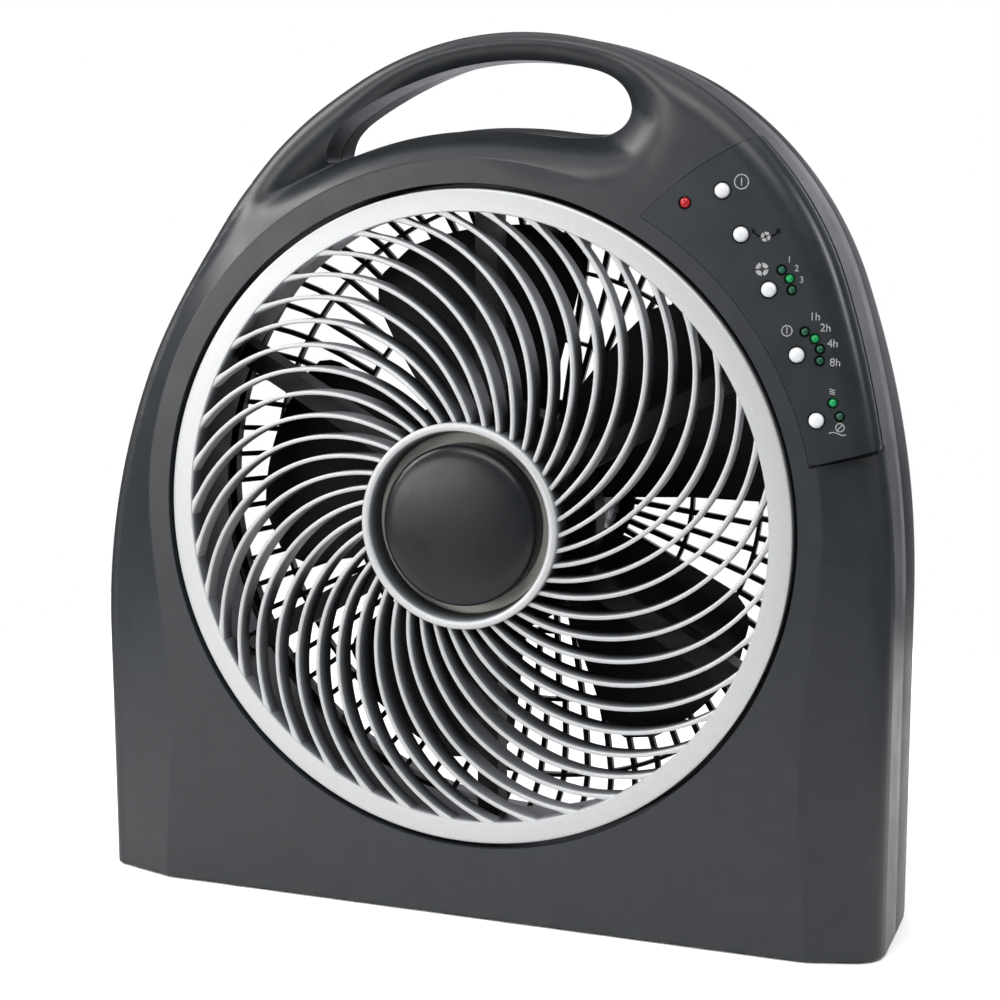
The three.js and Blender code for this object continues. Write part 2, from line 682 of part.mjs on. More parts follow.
addPiece('control_panel', controlPanel(), CHARCOAL);
addPiece('control_board', plate(panelOutline(3), BOARD_Y, BOARD_Y + BOARD_THICKNESS), BOARD);
for (const [name, at] of Object.entries(BUTTONS)) addPiece(`button_${name}`, button(at), WHITE);
for (const [name, at] of Object.entries(LAMPS)) addPiece(`lamp_${name}`, lamp(at, LAMP_R), GREEN_LENS);
addPiece('receiver_window', lamp(RECEIVER.at, RECEIVER.radius), RED_LENS);

addPiece('power_board', block([80, 42, 1.6], [-15, 90, 8.5 + GAP + 0.8]), BOARD);
addPiece('motor_capacitor', block([36, 16, 20], [70, 80, 3.5 + GAP + 10]), BLACK);
addPiece('cord_gland', gland(), RUBBER);
CASE_SCREWS.forEach((at, i) => addPiece(`case_screw_${i + 1}`, screw(at, 4, 69, 66 + GAP, 42), STEEL));
FEET.forEach((at, i) => addPiece(`foot_${i + 1}`, capsule(at, FOOT_R, 0, 2), RUBBER));

export default root;
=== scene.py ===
import math

import bmesh
import bpy
import numpy as np
from mathutils import Matrix, Quaternion, Vector
from mathutils.geometry import delaunay_2d_cdt


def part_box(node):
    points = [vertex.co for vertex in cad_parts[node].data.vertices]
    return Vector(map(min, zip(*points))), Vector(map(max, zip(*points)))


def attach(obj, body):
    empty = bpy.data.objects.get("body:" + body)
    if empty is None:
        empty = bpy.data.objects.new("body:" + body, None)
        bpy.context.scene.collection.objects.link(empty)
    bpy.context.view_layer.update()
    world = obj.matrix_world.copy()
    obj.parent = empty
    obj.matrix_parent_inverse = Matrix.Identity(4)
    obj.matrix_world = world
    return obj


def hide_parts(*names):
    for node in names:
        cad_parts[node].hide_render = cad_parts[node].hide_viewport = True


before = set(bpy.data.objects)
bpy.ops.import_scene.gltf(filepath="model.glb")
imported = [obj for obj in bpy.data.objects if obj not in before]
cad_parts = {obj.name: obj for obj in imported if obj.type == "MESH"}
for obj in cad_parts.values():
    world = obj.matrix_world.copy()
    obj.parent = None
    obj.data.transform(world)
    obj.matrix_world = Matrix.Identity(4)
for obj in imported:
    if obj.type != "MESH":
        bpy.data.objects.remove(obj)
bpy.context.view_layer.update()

# ---- frame
# Shapes are drawn in millimetres: x to the right, y back from the flat front face, z up from the floor.
MM = 0.001
FRONT_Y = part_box("front_shell")[0].y
AXIS_Z = 214.0  # height of the axis that the grille and the blade turn on


def to_frame(p):
    """A drawn point in the frame's metres."""
    return (p[0] * MM, p[1] * MM + FRONT_Y, p[2] * MM)


# ---- dimensions
BASE_Z = 1.0            # underside of the shells
PARTING_Y = 54.0        # back of the front shell
GAP = 0.3               # open joint between the shells
REAR_PROUD = 0.4        # how far the wall at the joint stands out past the front outline
HALF_WIDTH = 222.5
SHOULDER_Z = 173.5      # where the right side starts to curve
OUTLINE_ARCS = ((540.0, 18.0), (182.0, 115.0), (381.6, 47.0))  # radius and sweep, from right to left
OPENING_R = 174.2       # air opening in the front face
DUCT_R = 167.0
REAR_OPENING_R = 188.0
CREASE_R = 186.6        # outer edge of the flat face above the axis
CREASE_TOP_Z = 206
CREASE_Z = (0, 34, 69, 103, 138, 172, CREASE_TOP_Z)
CREASE_X = (182.5, 180.6, 177.8, 177, 178.9, 183.4, CREASE_R)
FACET_DEPTH = 9.5
PANEL_FROM = 12.2       # control panel's lower and upper inner corners, in degrees
PANEL_TO = 59.5
PANEL_INNER_R = 183.0
PANEL_SIDE_TO = PANEL_TO - 6.4
PANEL_PROUD = 0.35
HOLE_LOWER_R = 200.4    # handle opening: lower edge about the axis, upper edge about TOP_CENTRE
HOLE_TOP_R = 164.5
HOLE_FROM, HOLE_LOWER_SWEEP = 113.0, 27.0
HOLE_TOP_FROM, HOLE_TOP_SWEEP = 76, 48.0
HOLE_DEPTH = 22.0       # how far the front surface sinks to the handle opening
LINER_FROM = 34.0       # depth where the opening's front half ends
FINE_STEP = 2.5         # spacing of outline points
ROUND = 240             # points on a large circle


def smooth(t, lo, hi):
    u = np.clip((np.asarray(t, float) - lo) / (hi - lo), 0, 1)
    return u * u * (3 - 2 * u)


def mix(a, b, share):
    return a * (1 - share) + b * share


def round_edge(q):
    """Quarter circle: 0 at q = 0, rising to 1 at q = 1."""
    q = np.clip(q, 0, 1)
    return 1 - np.sqrt(1 - q * q)


def on_circle(centre, r, deg):
    a = math.radians(deg)
    return (centre[0] + r * math.cos(a), centre[1] + r * math.sin(a))


def polar(r, deg):
    return on_circle((0.0, AXIS_Z), r, deg)


# ---- outlines
def outline_path():
    """Arcs as centre x, centre z, radius, start and end angle; and the height of the left side's top."""
    x, z, heading = HALF_WIDTH, SHOULDER_Z, 90.0
    arcs = []
    for radius, sweep in OUTLINE_ARCS:
        h = math.radians(heading)
        centre = (x - radius * math.sin(h), z + radius * math.cos(h))
        arcs.append((*centre, radius, heading - 90, heading - 90 + sweep))
        heading += sweep
        x, z = on_circle(centre, radius, heading - 90)
    return arcs, z


ARCS, LEFT_SHOULDER_Z = outline_path()
TOP_CENTRE = ARCS[1][:2]


def body_outline(inset, step):
    """Points up the right side, over the top and down the left side."""
    n = int((SHOULDER_Z - BASE_Z) / step)
    pts = [(HALF_WIDTH - inset, BASE_Z + (SHOULDER_Z - BASE_Z) * i / n) for i in range(n)]
    for cx, cz, r, a0, a1 in ARCS:
        n = max(2, int(math.radians(a1 - a0) * r / step))
        pts += [on_circle((cx, cz), r - inset, a0 + (a1 - a0) * i / n) for i in range(n)]
    n = int((LEFT_SHOULDER_Z - BASE_Z) / step)
    x = -HALF_WIDTH + inset
    return pts + [(x, LEFT_SHOULDER_Z + (BASE_Z - LEFT_SHOULDER_Z) * i / n) for i in range(n + 1)]


def base_inset(deg):
    """How far the outer wall stands in from the CAD outline, by direction from the axis."""
    return 3.8 - 3.0 * smooth(deg, 106, 122)


def direction(x, z):
    """Angle about the fan's axis, from -90 to 270 degrees."""
    a = np.degrees(np.arctan2(np.asarray(z, float) - AXIS_Z, np.asarray(x, float)))
    return np.where(a < -90, a + 360, a)


def front_outline(inset=0.0):
    """The outer wall's outline, moved inwards by the inset."""
    at = np.array(body_outline(0.0, FINE_STEP))
    unit = np.array(body_outline(-1.0, FINE_STEP)) - at
    d = base_inset(direction(at[:, 0], at[:, 1])) + inset
    return [tuple(p) for p in at - unit * d[:, None]]


def bottom_edge(outline):
    """Points along the base that close an outline."""
    return [(x, BASE_Z) for x in np.linspace(outline[-1][0], outline[0][0], 140)[1:-1]]


def edge_distance(x, z):
    """Distance inwards from the CAD outline's sides and top."""
    x, z = np.asarray(x, float), np.asarray(z, float)
    far = 1e9
    best = np.where((z < SHOULDER_Z) & (x > 0), HALF_WIDTH - x, far)
    best = np.where((z < LEFT_SHOULDER_Z) & (x < 0), HALF_WIDTH + x, best)
    for cx, cz, r, a0, a1 in ARCS:
        ang = np.degrees(np.arctan2(z - cz, x - cx))
        on_arc = (ang >= a0 - 0.5) & (ang <= a1 + 0.5)
        best = np.where(on_arc, np.minimum(best, r - np.hypot(x - cx, z - cz)), best)
    return np.where(best > 1e8, np.minimum(HALF_WIDTH - x, HALF_WIDTH + x), best)


def wall_distance(x, z):
    """Distance inwards from the outer wall."""
    return edge_distance(x, z) - base_inset(direction(x, z))


def bezier(p0, p1, p2, p3, n):
    t = np.linspace(0, 1, n, endpoint=False)[:, None]
    p0, p1, p2, p3 = (np.array(p, float) for p in (p0, p1, p2, p3))
    q = (1 - t) ** 3 * p0 + 3 * (1 - t) ** 2 * t * p1 + 3 * (1 - t) * t * t * p2 + t ** 3 * p3
    return [tuple(v) for v in q]


def hole_outline():
    """The handle opening, anticlockwise from its left tip along the lower edge."""
    tip = polar(HOLE_LOWER_R, HOLE_FROM)
    low = polar(HOLE_LOWER_R, HOLE_FROM - HOLE_LOWER_SWEEP)
    top = on_circle(TOP_CENTRE, HOLE_TOP_R, HOLE_TOP_FROM)
    left = on_circle(TOP_CENTRE, HOLE_TOP_R, HOLE_TOP_FROM + HOLE_TOP_SWEEP)
    pts = [polar(HOLE_LOWER_R, HOLE_FROM - HOLE_LOWER_SWEEP * i / 24) for i in range(24)]
    pts += bezier(low, (32, 413), (40, 411), (50, 410.2), 10)
    pts += bezier((50, 410.2), (66, 409), (83, 411.5), (83.5, 424.5), 14)
    pts += bezier((83.5, 424.5), (83.5, 437), (top[0] + 9, top[1] - 2), top, 14)
    pts += [on_circle(TOP_CENTRE, HOLE_TOP_R, HOLE_TOP_FROM + HOLE_TOP_SWEEP * i / 34) for i in range(34)]
    pts += bezier(left, (left[0] - 7.4, left[1] - 5), (-83.5, 405), (-82.8, 400.0), 9)
    return pts + bezier((-82.8, 400.0), (-82.5, 398), (-81.2, 397.5), tip, 4)


HOLE = hole_outline()


def segments(loop):
    a = np.array(loop)
    return zip(a, np.roll(a, -1, axis=0))


def polyline_distance(x, z, loop):
    """Unsigned distance from points to a closed polyline."""
    x, z = np.asarray(x, float).ravel(), np.asarray(z, float).ravel()
    best = np.full(x.shape, 1e9)
    for (ax, az), (bx, bz) in segments(loop):
        dx, dz = bx - ax, bz - az
        t = np.clip(((x - ax) * dx + (z - az) * dz) / (dx * dx + dz * dz), 0, 1)
        best = np.minimum(best, np.hypot(x - ax - t * dx, z - az - t * dz))
    return best


def inside(x, z, loop):
    x, z = np.asarray(x, float).ravel(), np.asarray(z, float).ravel()
    odd = np.zeros(x.shape, bool)
    for (ax, az), (bx, bz) in segments(loop):
        if az != bz:
            odd ^= ((az > z) != (bz > z)) & (x < (bx - ax) * (z - az) / (bz - az) + ax)
    return odd


def within(p, outer, holes):
    """Whether points lie inside the outer loop and in none of the holes."""
    ok = inside(p[:, 0], p[:, 1], outer)
    for h in holes:
        ok &= ~inside(p[:, 0], p[:, 1], h)
    return ok


def offset_loop(loop, d):
    """Closed anticlockwise loop moved outwards by d."""
    a = np.array(loop)
    t = np.roll(a, -1, axis=0) - np.roll(a, 1, axis=0)
    t /= np.linalg.norm(t, axis=1)[:, None]
    return [tuple(p) for p in a + np.c_[t[:, 1], -t[:, 0]] * d]


def difference(f, x, z, step):
    """Change of f between a step either way, in x and in z."""
    return f(x + step, z) - f(x - step, z), f(x, z + step) - f(x, z - step)


# ---- front surface
def panel_bottom(x):
    """Height of the control panel's straight lower edge."""
    return 252.0 + 0.272 * (x - 178.0)


def handle_depth(x, z, r, th, e, facet):
    """Groove between the handle's bar and the lip under it, or a dish round the opening on the right."""
    deep = HOLE_DEPTH - 10.0 * (1 - smooth(th, 62, 96))
    u = np.clip((r - CREASE_R) / 13.8, 0, 1.6)
    lip = deep * (0.42 * u + 0.58 * u ** 3.2)
    low = mix(facet, lip, smooth(th, 132, 112))
    width = 17.0 + 11.0 * smooth(th, 96, 114)
    edge_y = 8.8 * smooth(th, 72, 118)
    bar = edge_y + (deep - edge_y) * np.clip(e / width, 0, 1.5) ** 2.4
    blend = 3.0
    groove = -blend * np.log(np.exp(-low / blend) + np.exp(-bar / blend))
    groove = np.where(low < 0.01, 0, np.maximum(groove, 0))
    dish = deep * np.clip(1 - polyline_distance(x, z, HOLE) / 26.0, 0, 1) ** 2.2
    return mix(dish, groove, smooth(th, 60, 90))


def front_height(x, z, panel=False):
    """Depth of the front surface, or of the control panel's, behind the flat front face."""
    x, z = np.asarray(x, float).ravel(), np.asarray(z, float).ravel()
    r = np.hypot(x, z - AXIS_Z)
    th = direction(x, z)
    e = wall_distance(x, z)
    # no facet by the panel: the face runs out flat to a rounded edge
    by_panel = (x > 0) & (z > panel_bottom(x) + np.where(e < 1.2, 2.2, 0.2))
    if panel:
        by_panel = np.ones_like(x, bool)
        e = e + PANEL_PROUD
    crease_x = np.interp(z, CREASE_Z, CREASE_X)
    out = np.clip(np.where(z < CREASE_TOP_Z, np.abs(x) - crease_x, r - CREASE_R), 0, None)
    facet = FACET_DEPTH * out / np.maximum(out + np.maximum(e - 6.0, 0), 1e-3)
    facet = facet * np.where(by_panel, 0.0, 1.0)
    on_handle = smooth(th, 50, 60) * (1 - smooth(th, 120, 136))
    y = mix(facet, handle_depth(x, z, r, th, e, facet), on_handle)
    # rounded outer edge, tighter down the left side, then the base's own small rounding
    left = smooth(th, 132, 160)
    top = smooth(th, 64, 84) * (1 - smooth(th, 128, 146))
    round_w = mix(np.where(by_panel, 13.0, 11.0) - 6.0 * left, 15.0, top)
    round_h = mix(np.where(by_panel, 10.0, 13.0) - 7.0 * left, 9.0, top)
    y = y + round_h * round_edge((round_w - e) / round_w)
    return y + 1.5 * round_edge((1.5 - (z - BASE_Z)) / 1.5)


# ---- meshes
def link(ob):
    bpy.context.scene.collection.objects.link(ob)
    return ob


def new_object(name, verts, faces, normals=None):
    """A smooth-shaded object from drawn points."""
    me = bpy.data.meshes.new(name)
    me.from_pydata([to_frame(v) for v in verts], [], faces)
    me.validate()
    me.update()
    me.polygons.foreach_set("use_smooth", [True] * len(me.polygons))
    if normals is not None:
        me.normals_split_custom_set_from_vertices([tuple(n) for n in normals])
    return link(bpy.data.objects.new(name, me))


class Builder:
    """Collects vertices and faces for one mesh."""

    def __init__(self):
        self.verts, self.faces = [], []

    def add(self, verts, faces):
        base = len(self.verts)
        self.verts += [tuple(v) for v in verts]
        self.faces += [tuple(i + base for i in f) for f in faces]

    def strip(self, rings, closed=True, flip=False, closed_other=False):
        """Quads between rings of equal count; closed_other also joins the last ring to the first."""
        n, m = len(rings[0]), len(rings)
        faces = []
        for j in range(m if closed_other else m - 1):
            for i in range(n if closed else n - 1):
                a, b = j * n + i, j * n + (i + 1) % n
                c, d = ((j + 1) % m) * n + (i + 1) % n, ((j + 1) % m) * n + i
                faces.append((a, d, c, b) if flip else (a, b, c, d))
        self.add([p for ring in rings for p in ring], faces)

    def solid(self, rings):
        """A strip with both ends capped."""
        face = tuple(range(len(rings[0])))
        self.strip(rings)
        self.add(rings[0], [face])
        self.add(rings[-1], [face[::-1]])

    def build(self, name, angle):
        """The mesh, shaded smooth but for edges sharper than the angle."""
        ob = new_object(name, self.verts, self.faces)
        bm = bmesh.new()
        bm.from_mesh(ob.data)
        bmesh.ops.remove_doubles(bm, verts=bm.verts, dist=2e-6)
        bmesh.ops.recalc_face_normals(bm, faces=bm.faces)
        for e in bm.edges:
            e.smooth = len(e.link_faces) == 2 and e.calc_face_angle(0) < math.radians(angle)
        bm.to_mesh(ob.data)
        bm.free()
        return ob


def join_meshes(name, obs):
    """One object out of several, keeping their normals."""
    for o in bpy.context.selected_objects:
        o.select_set(False)
    for o in obs:
        o.select_set(True)
    bpy.context.view_layer.objects.active = obs[0]
    bpy.ops.object.join()
    obs[0].name = obs[0].data.name = name
    return obs[0]


def field_mesh(name, outer, holes, height, spacing, extra, sign=1.0):
    """Surface y = height(x, z) over the outer loop less the holes; sign -1 faces it to the back.

    Its points are the loops, an even triangular grid, and the extra rows where the shape turns quickly."""
    loops = [outer] + list(holes)
    xs = np.arange(-226, 227, spacing)
    zs = np.arange(0, 470, spacing * 0.866)
    grid = np.array([(x + (spacing / 2 if j % 2 else 0), z) for j, z in enumerate(zs) for x in xs])
    keep = within(grid, outer, holes)
    for rows, share in ((loops, 0.35), (extra, 0.3)):
        for row in rows:
            keep &= polyline_distance(grid[:, 0], grid[:, 1], row) > spacing * share
    points, edges = [], []
    for loop in loops:
        base = len(points)
        points += [tuple(p) for p in loop]
        edges += [(base + i, base + (i + 1) % len(loop)) for i in range(len(loop))]
    for row in extra:
        p = np.array(row)
        ok = within(p, outer, holes)
        for loop in loops:
            ok &= polyline_distance(p[:, 0], p[:, 1], loop) > 0.4
        points += [tuple(v) for v in p[ok]]
    points += [tuple(v) for v in grid[keep]]
    vs, _, fs, *_ = delaunay_2d_cdt([Vector(p) for p in points], edges, [], 1, 1e-5)
    v = np.array([tuple(p) for p in vs])
    tri = np.array([f for f in fs if len(f) == 3])
    tri = tri[within(v[tri].mean(axis=1), outer, holes)]
    y = height(v[:, 0], v[:, 1])
    step, steepest = 0.4, 6
    rise = difference(height, v[:, 0], v[:, 1], step)
    gx, gz = (np.clip(g / (2 * step), -steepest, steepest) for g in rise)
    normal = np.c_[gx, -np.ones(len(v)), gz] * sign
    normal /= np.linalg.norm(normal, axis=1)[:, None]
    area = ((v[tri[:, 1], 0] - v[tri[:, 0], 0]) * (v[tri[:, 2], 1] - v[tri[:, 0], 1])
            - (v[tri[:, 2], 0] - v[tri[:, 0], 0]) * (v[tri[:, 1], 1] - v[tri[:, 0], 1]))
    tri = np.where((area * sign > 0)[:, None], tri, tri[:, ::-1])
    used = np.unique(tri)
    index = np.full(len(v), -1)
    index[used] = np.arange(len(used))
    verts = [(v[i, 0], y[i], v[i, 1]) for i in used]
    return new_object(name, verts, [tuple(int(index[k]) for k in t) for t in tri], normal[used])


def loop_at(loop, height):
    """A flat loop laid on a surface."""
    p = np.array(loop)
    return [(x, y, z) for (x, z), y in zip(loop, height(p[:, 0], p[:, 1]))]


def at_depth(loop, y):
    return [(x, y, z) for x, z in loop]


def circle(r, n=ROUND, centre=(0.0, AXIS_Z)):
    return [(centre[0] + r * math.cos(2 * math.pi * i / n), centre[1] + r * math.sin(2 * math.pi * i / n))
            for i in range(n)]


def lathe(name, profile, n, centre=(0.0, AXIS_Z), closed=False, angle=35.0):
    """A radius and depth profile turned round Y."""
    b = Builder()
    b.strip([at_depth(circle(max(r, 1e-4), n, centre), y) for r, y in profile], closed_other=closed)
    return b.build(name, angle)


# ---- materials
def material(name, base, rough, metallic=0.0, spec=0.5):
    m = bpy.data.materials.new(name)
    m.use_nodes = True
    b = m.node_tree.nodes["Principled BSDF"]
    b.inputs["Base Color"].default_value = (*base, 1)
    b.inputs["Roughness"].default_value = rough
    b.inputs["Metallic"].default_value = metallic
    b.inputs["Specular IOR Level"].default_value = spec
    return m, m.node_tree, b


def noise(nt, scale, detail, rough=0.6):
    tc = nt.nodes.new("ShaderNodeTexCoord")
    n = nt.nodes.new("ShaderNodeTexNoise")
    n.inputs["Scale"].default_value = scale
    n.inputs["Detail"].default_value = detail
    n.inputs["Roughness"].default_value = rough
    nt.links.new(tc.outputs["Object"], n.inputs["Vector"])
    return n.outputs["Fac"]


def ramp(nt, fac, stops):
    r = nt.nodes.new("ShaderNodeValToRGB")
    e = r.color_ramp.elements
    while len(e) < len(stops):
        e.new(0.5)
    for el, (pos, col) in zip(e, stops):
        el.position = pos
        el.color = (*col, 1)
    nt.links.new(fac, r.inputs["Fac"])
    return r.outputs["Color"]


def bump(nt, b, height, strength, distance):
    n = nt.nodes.new("ShaderNodeBump")
    n.inputs["Strength"].default_value = strength
    n.inputs["Distance"].default_value = distance
    nt.links.new(height, n.inputs["Height"])
    nt.links.new(n.outputs["Normal"], b.inputs["Normal"])


def plastic(name, dark, light, rough, grain=1500.0, strength=0.12, spec=0.5):
    """Moulded plastic: slightly mottled colour, fine spark grain, uneven gloss."""
    m, nt, b = material(name, dark, rough[0], spec=spec)
    colour = ramp(nt, noise(nt, 60.0, 8.0, 0.75), [(0.3, dark), (0.72, light)])
    nt.links.new(colour, b.inputs["Base Color"])
    fine = noise(nt, grain, 2.0)
    gloss = ramp(nt, noise(nt, 45.0, 3.0), [(0.3, (rough[0],) * 3), (0.75, (rough[1],) * 3)])
    nt.links.new(gloss, b.inputs["Roughness"])
    bump(nt, b, fine, strength, 0.0002)
    return m


def silver_paint():
    """Silver painted from the front: fine flake, darker with depth behind the front, partly the paint
    thinning out over the dark moulded plastic and partly painted shade in the gaps and recesses.
    """
    m, nt, b = material("silver paint", (0.62, 0.63, 0.64), 0.4, metallic=0.2)
    flake = noise(nt, 2600.0, 1.0)
    light = ramp(nt, flake, [(0.3, (0.285, 0.29, 0.295)), (0.7, (0.36, 0.365, 0.37))])
    shade = nt.nodes.new("ShaderNodeAttribute")
    shade.attribute_name = "shade"
    # Painted shade: the colour darkens with the stored depth behind the front, down the louvres' sides and
    # the hub's walls.
    fade = [(0.0, (1, 1, 1)), (0.08, (0.62, 0.64, 0.66)), (0.35, (0.30, 0.32, 0.34)),
            (0.7, (0.10, 0.11, 0.12)), (1.0, (0.03, 0.032, 0.035))]
    side = ramp(nt, shade.outputs["Fac"], fade)
    product = nt.nodes.new("ShaderNodeMixRGB")
    product.blend_type = "MULTIPLY"
    product.inputs["Fac"].default_value = 1.0
    nt.links.new(light, product.inputs["Color1"])
    nt.links.new(side, product.inputs["Color2"])
    nt.links.new(product.outputs["Color"], b.inputs["Base Color"])
    bump(nt, b, flake, 0.06, 0.0001)
    return m


def metal(name, base, rough, scale=900.0, strength=0.1):
    m, nt, b = material(name, base, rough, metallic=1.0)
    n = noise(nt, scale, 3.0)
    dull = tuple(c * 0.85 for c in base)
    nt.links.new(ramp(nt, n, [(0.3, dull), (0.7, base)]), b.inputs["Base Color"])
    bump(nt, b, n, strength, 0.0001)
    return m


def print_material():
    m, nt, b = material("panel print", (0.5, 0.5, 0.51), 0.5)
    colour = ramp(nt, noise(nt, 900.0, 2.0), [(0.3, (0.15, 0.15, 0.155)), (0.6, (0.23, 0.23, 0.235))])
    nt.links.new(colour, b.inputs["Base Color"])
    return m


def lens(name, base, glow):
    m, nt, b = material(name, base, 0.16, spec=0.2)
    lighter = tuple(min(1, c * 1.7 + 0.01) for c in base)
    nt.links.new(ramp(nt, noise(nt, 700.0, 2.0), [(0.35, base), (0.7, lighter)]), b.inputs["Base Color"])
    if glow:
        b.inputs["Emission Color"].default_value = (*base, 1)
        b.inputs["Emission Strength"].default_value = glow
    return m


charcoal = plastic("charcoal plastic", (0.0095, 0.0112, 0.0132), (0.0145, 0.0165, 0.0188), (0.34, 0.42),
                   spec=0.28)
panel_mat = plastic("panel plastic", (0.009, 0.011, 0.0132), (0.014, 0.0163, 0.019), (0.28, 0.36),
                    grain=1300.0, spec=0.26)
black = plastic("black plastic", (0.004, 0.0042, 0.005), (0.007, 0.0073, 0.0085), (0.4, 0.55), spec=0.18)
blade_mat = plastic("blade plastic", (0.0035, 0.0037, 0.0045), (0.006, 0.0063, 0.0075), (0.42, 0.55),
                    spec=0.15)
cap_mat = plastic("cap plastic", (0.005, 0.006, 0.0072), (0.008, 0.009, 0.0102), (0.26, 0.33), spec=0.22)
rubber = plastic("rubber", (0.012, 0.012, 0.012), (0.02, 0.02, 0.02), (0.75, 0.9), grain=900.0, strength=0.3)
white = plastic("white plastic", (0.40, 0.41, 0.42), (0.48, 0.49, 0.50), (0.25, 0.35), strength=0.05)
# The brownish tint of the hub recess's floor is a painted reflection.
recess_reflection_mat = plastic("recess paint with painted reflection", (0.30, 0.285, 0.26), (0.38, 0.365, 0.335), (0.4, 0.5),
                     grain=2600.0, spec=0.3)
board_mat = plastic("circuit board", (0.01, 0.08, 0.035), (0.015, 0.11, 0.05), (0.3, 0.4))
# Dark print for the arrows; the same black is also laid as painted shadow in the panel's joint.
dark_print_and_shadow = plastic("dark print and painted shadow", (0.003, 0.003, 0.0035), (0.005, 0.005, 0.0055), (0.75, 0.9), spec=0.05)
silver = silver_paint()
steel = metal("steel", (0.55, 0.56, 0.58), 0.32)
zinc = metal("zinc plate", (0.62, 0.60, 0.55), 0.4, 400.0)
copper = metal("copper wire", (0.62, 0.30, 0.16), 0.35, 1200.0, 0.4)
aluminium = metal("pressed aluminium", (0.20, 0.205, 0.215), 0.5, 500.0)
ink = print_material()
green_off = lens("green lens", (0.003, 0.035, 0.017), 0)
green_on = lens("green lens lit", (0.002, 0.12, 0.032), 0.4)
# The receiver window is no lamp: its faint glow is painted light.
red_lens = lens("red lens", (0.20, 0.006, 0.010), 0.1)


def put(ob, mat):
    ob.data.materials.clear()
    ob.data.materials.append(mat)


def finish_piece(ob, mat, body, slot, *nodes):
    """Gives a piece its material and body, and hides the CAD nodes it stands for. The slot is not used."""
    put(ob, mat)
    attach(ob, body)
    if nodes:
        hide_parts(*nodes)


def dress(mat, *nodes):
    """Puts a material on CAD nodes that keep their own shape."""
    for node in nodes:
        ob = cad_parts[node]
        for s in ob.material_slots:
            s.material = mat
        if not ob.material_slots:
            ob.data.materials.append(mat)


def node_centre(name):
    lo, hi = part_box(name)
    return 0.5 * (lo.x + hi.x) / MM, 0.5 * (lo.z + hi.z) / MM


def numbered(name, count):
    return ["%s_%d" % (name, i) for i in range(1, count + 1)]


# ---- control panel outline
def panel_side(inset, lift):
    """The outer wall's outline beside the panel, from lift above the panel's lower edge."""
    return [p for p in front_outline(inset)
            if p[0] > 0 and p[1] > panel_bottom(p[0]) + lift and direction(*p) < PANEL_SIDE_TO]


def panel_loop():
    """The control panel's edge, anticlockwise from its inner bottom corner."""
    outer = panel_side(-PANEL_PROUD, 0.3)
    start_x = polar(PANEL_INNER_R, PANEL_FROM)[0]
    edge_x = outer[0][0] + 0.1
    n = 14
    xs = [start_x + (edge_x - start_x) * i / n for i in range(n + 1)]
    pts = [(x, panel_bottom(x)) for x in xs] + outer
    # upper edge, bowed a little
    last, top_in = outer[-1], polar(PANEL_INNER_R, PANEL_TO)
    n = 20
    for i in range(1, n):
        t = i / n
        bow = 3.2 * math.sin(math.pi * t)
        x = last[0] + (top_in[0] - last[0]) * t
        z = last[1] + (top_in[1] - last[1]) * t
        pts.append((x - bow * 0.55, z + bow * 0.83))
    n = 46
    return pts + [polar(PANEL_INNER_R, PANEL_TO + (PANEL_FROM - PANEL_TO) * i / n) for i in range(n)]


def panel_pocket():
    """The recess for the panel: a gap wider than it, and just inside the outer wall."""
    at = np.array(offset_loop(panel_loop(), 0.28))
    x, z = at.T
    gx, gz = difference(wall_distance, x, z, 0.1)
    size = np.maximum(np.hypot(gx, gz), 1e-9)
    move = np.maximum(0.9 - wall_distance(x, z), 0)
    at = at + np.c_[gx / size, gz / size] * move[:, None]
    out = []
    for p in at:
        if not out or math.dist(p, out[-1]) > 0.3:
            out.append(tuple(p))
    return out


# ---- front shell
def crease_rows():
    """Rows of points that follow the creases and the outer rounding."""
    rows = [front_outline(k) for k in (0.5, 1.1, 1.9, 2.9, 4.2, 6.0, 8.0, 10.2)]
    zs = np.arange(3, CREASE_TOP_Z, 3.0)
    xs = np.interp(zs, CREASE_Z, CREASE_X)
    for d in (-0.8, 0.0, 0.8, 2.5):
        rows.append([polar(CREASE_R + d, a) for a in np.arange(-2, 182, 1.0)])
        for s in (-1, 1):
            rows.append([(s * (x + d), z) for x, z in zip(xs, zs)])
    rows += [offset_loop(HOLE, k) for k in (0.6, 1.4, 2.4, 3.8, 5.6, 8.0, 11.0)]
    for k in (0.5, 1.2, 2.2):
        rows.append([(x, BASE_Z + k) for x in np.arange(-220, 221, 3.5)])
    # close rows under the handle's left end, where the groove runs out
    for j, r in enumerate(np.arange(189.5, 216, 1.6)):
        rows.append([polar(r, a) for a in np.arange(108 + 0.25 * (j % 2), 166, 0.5)])
    return rows


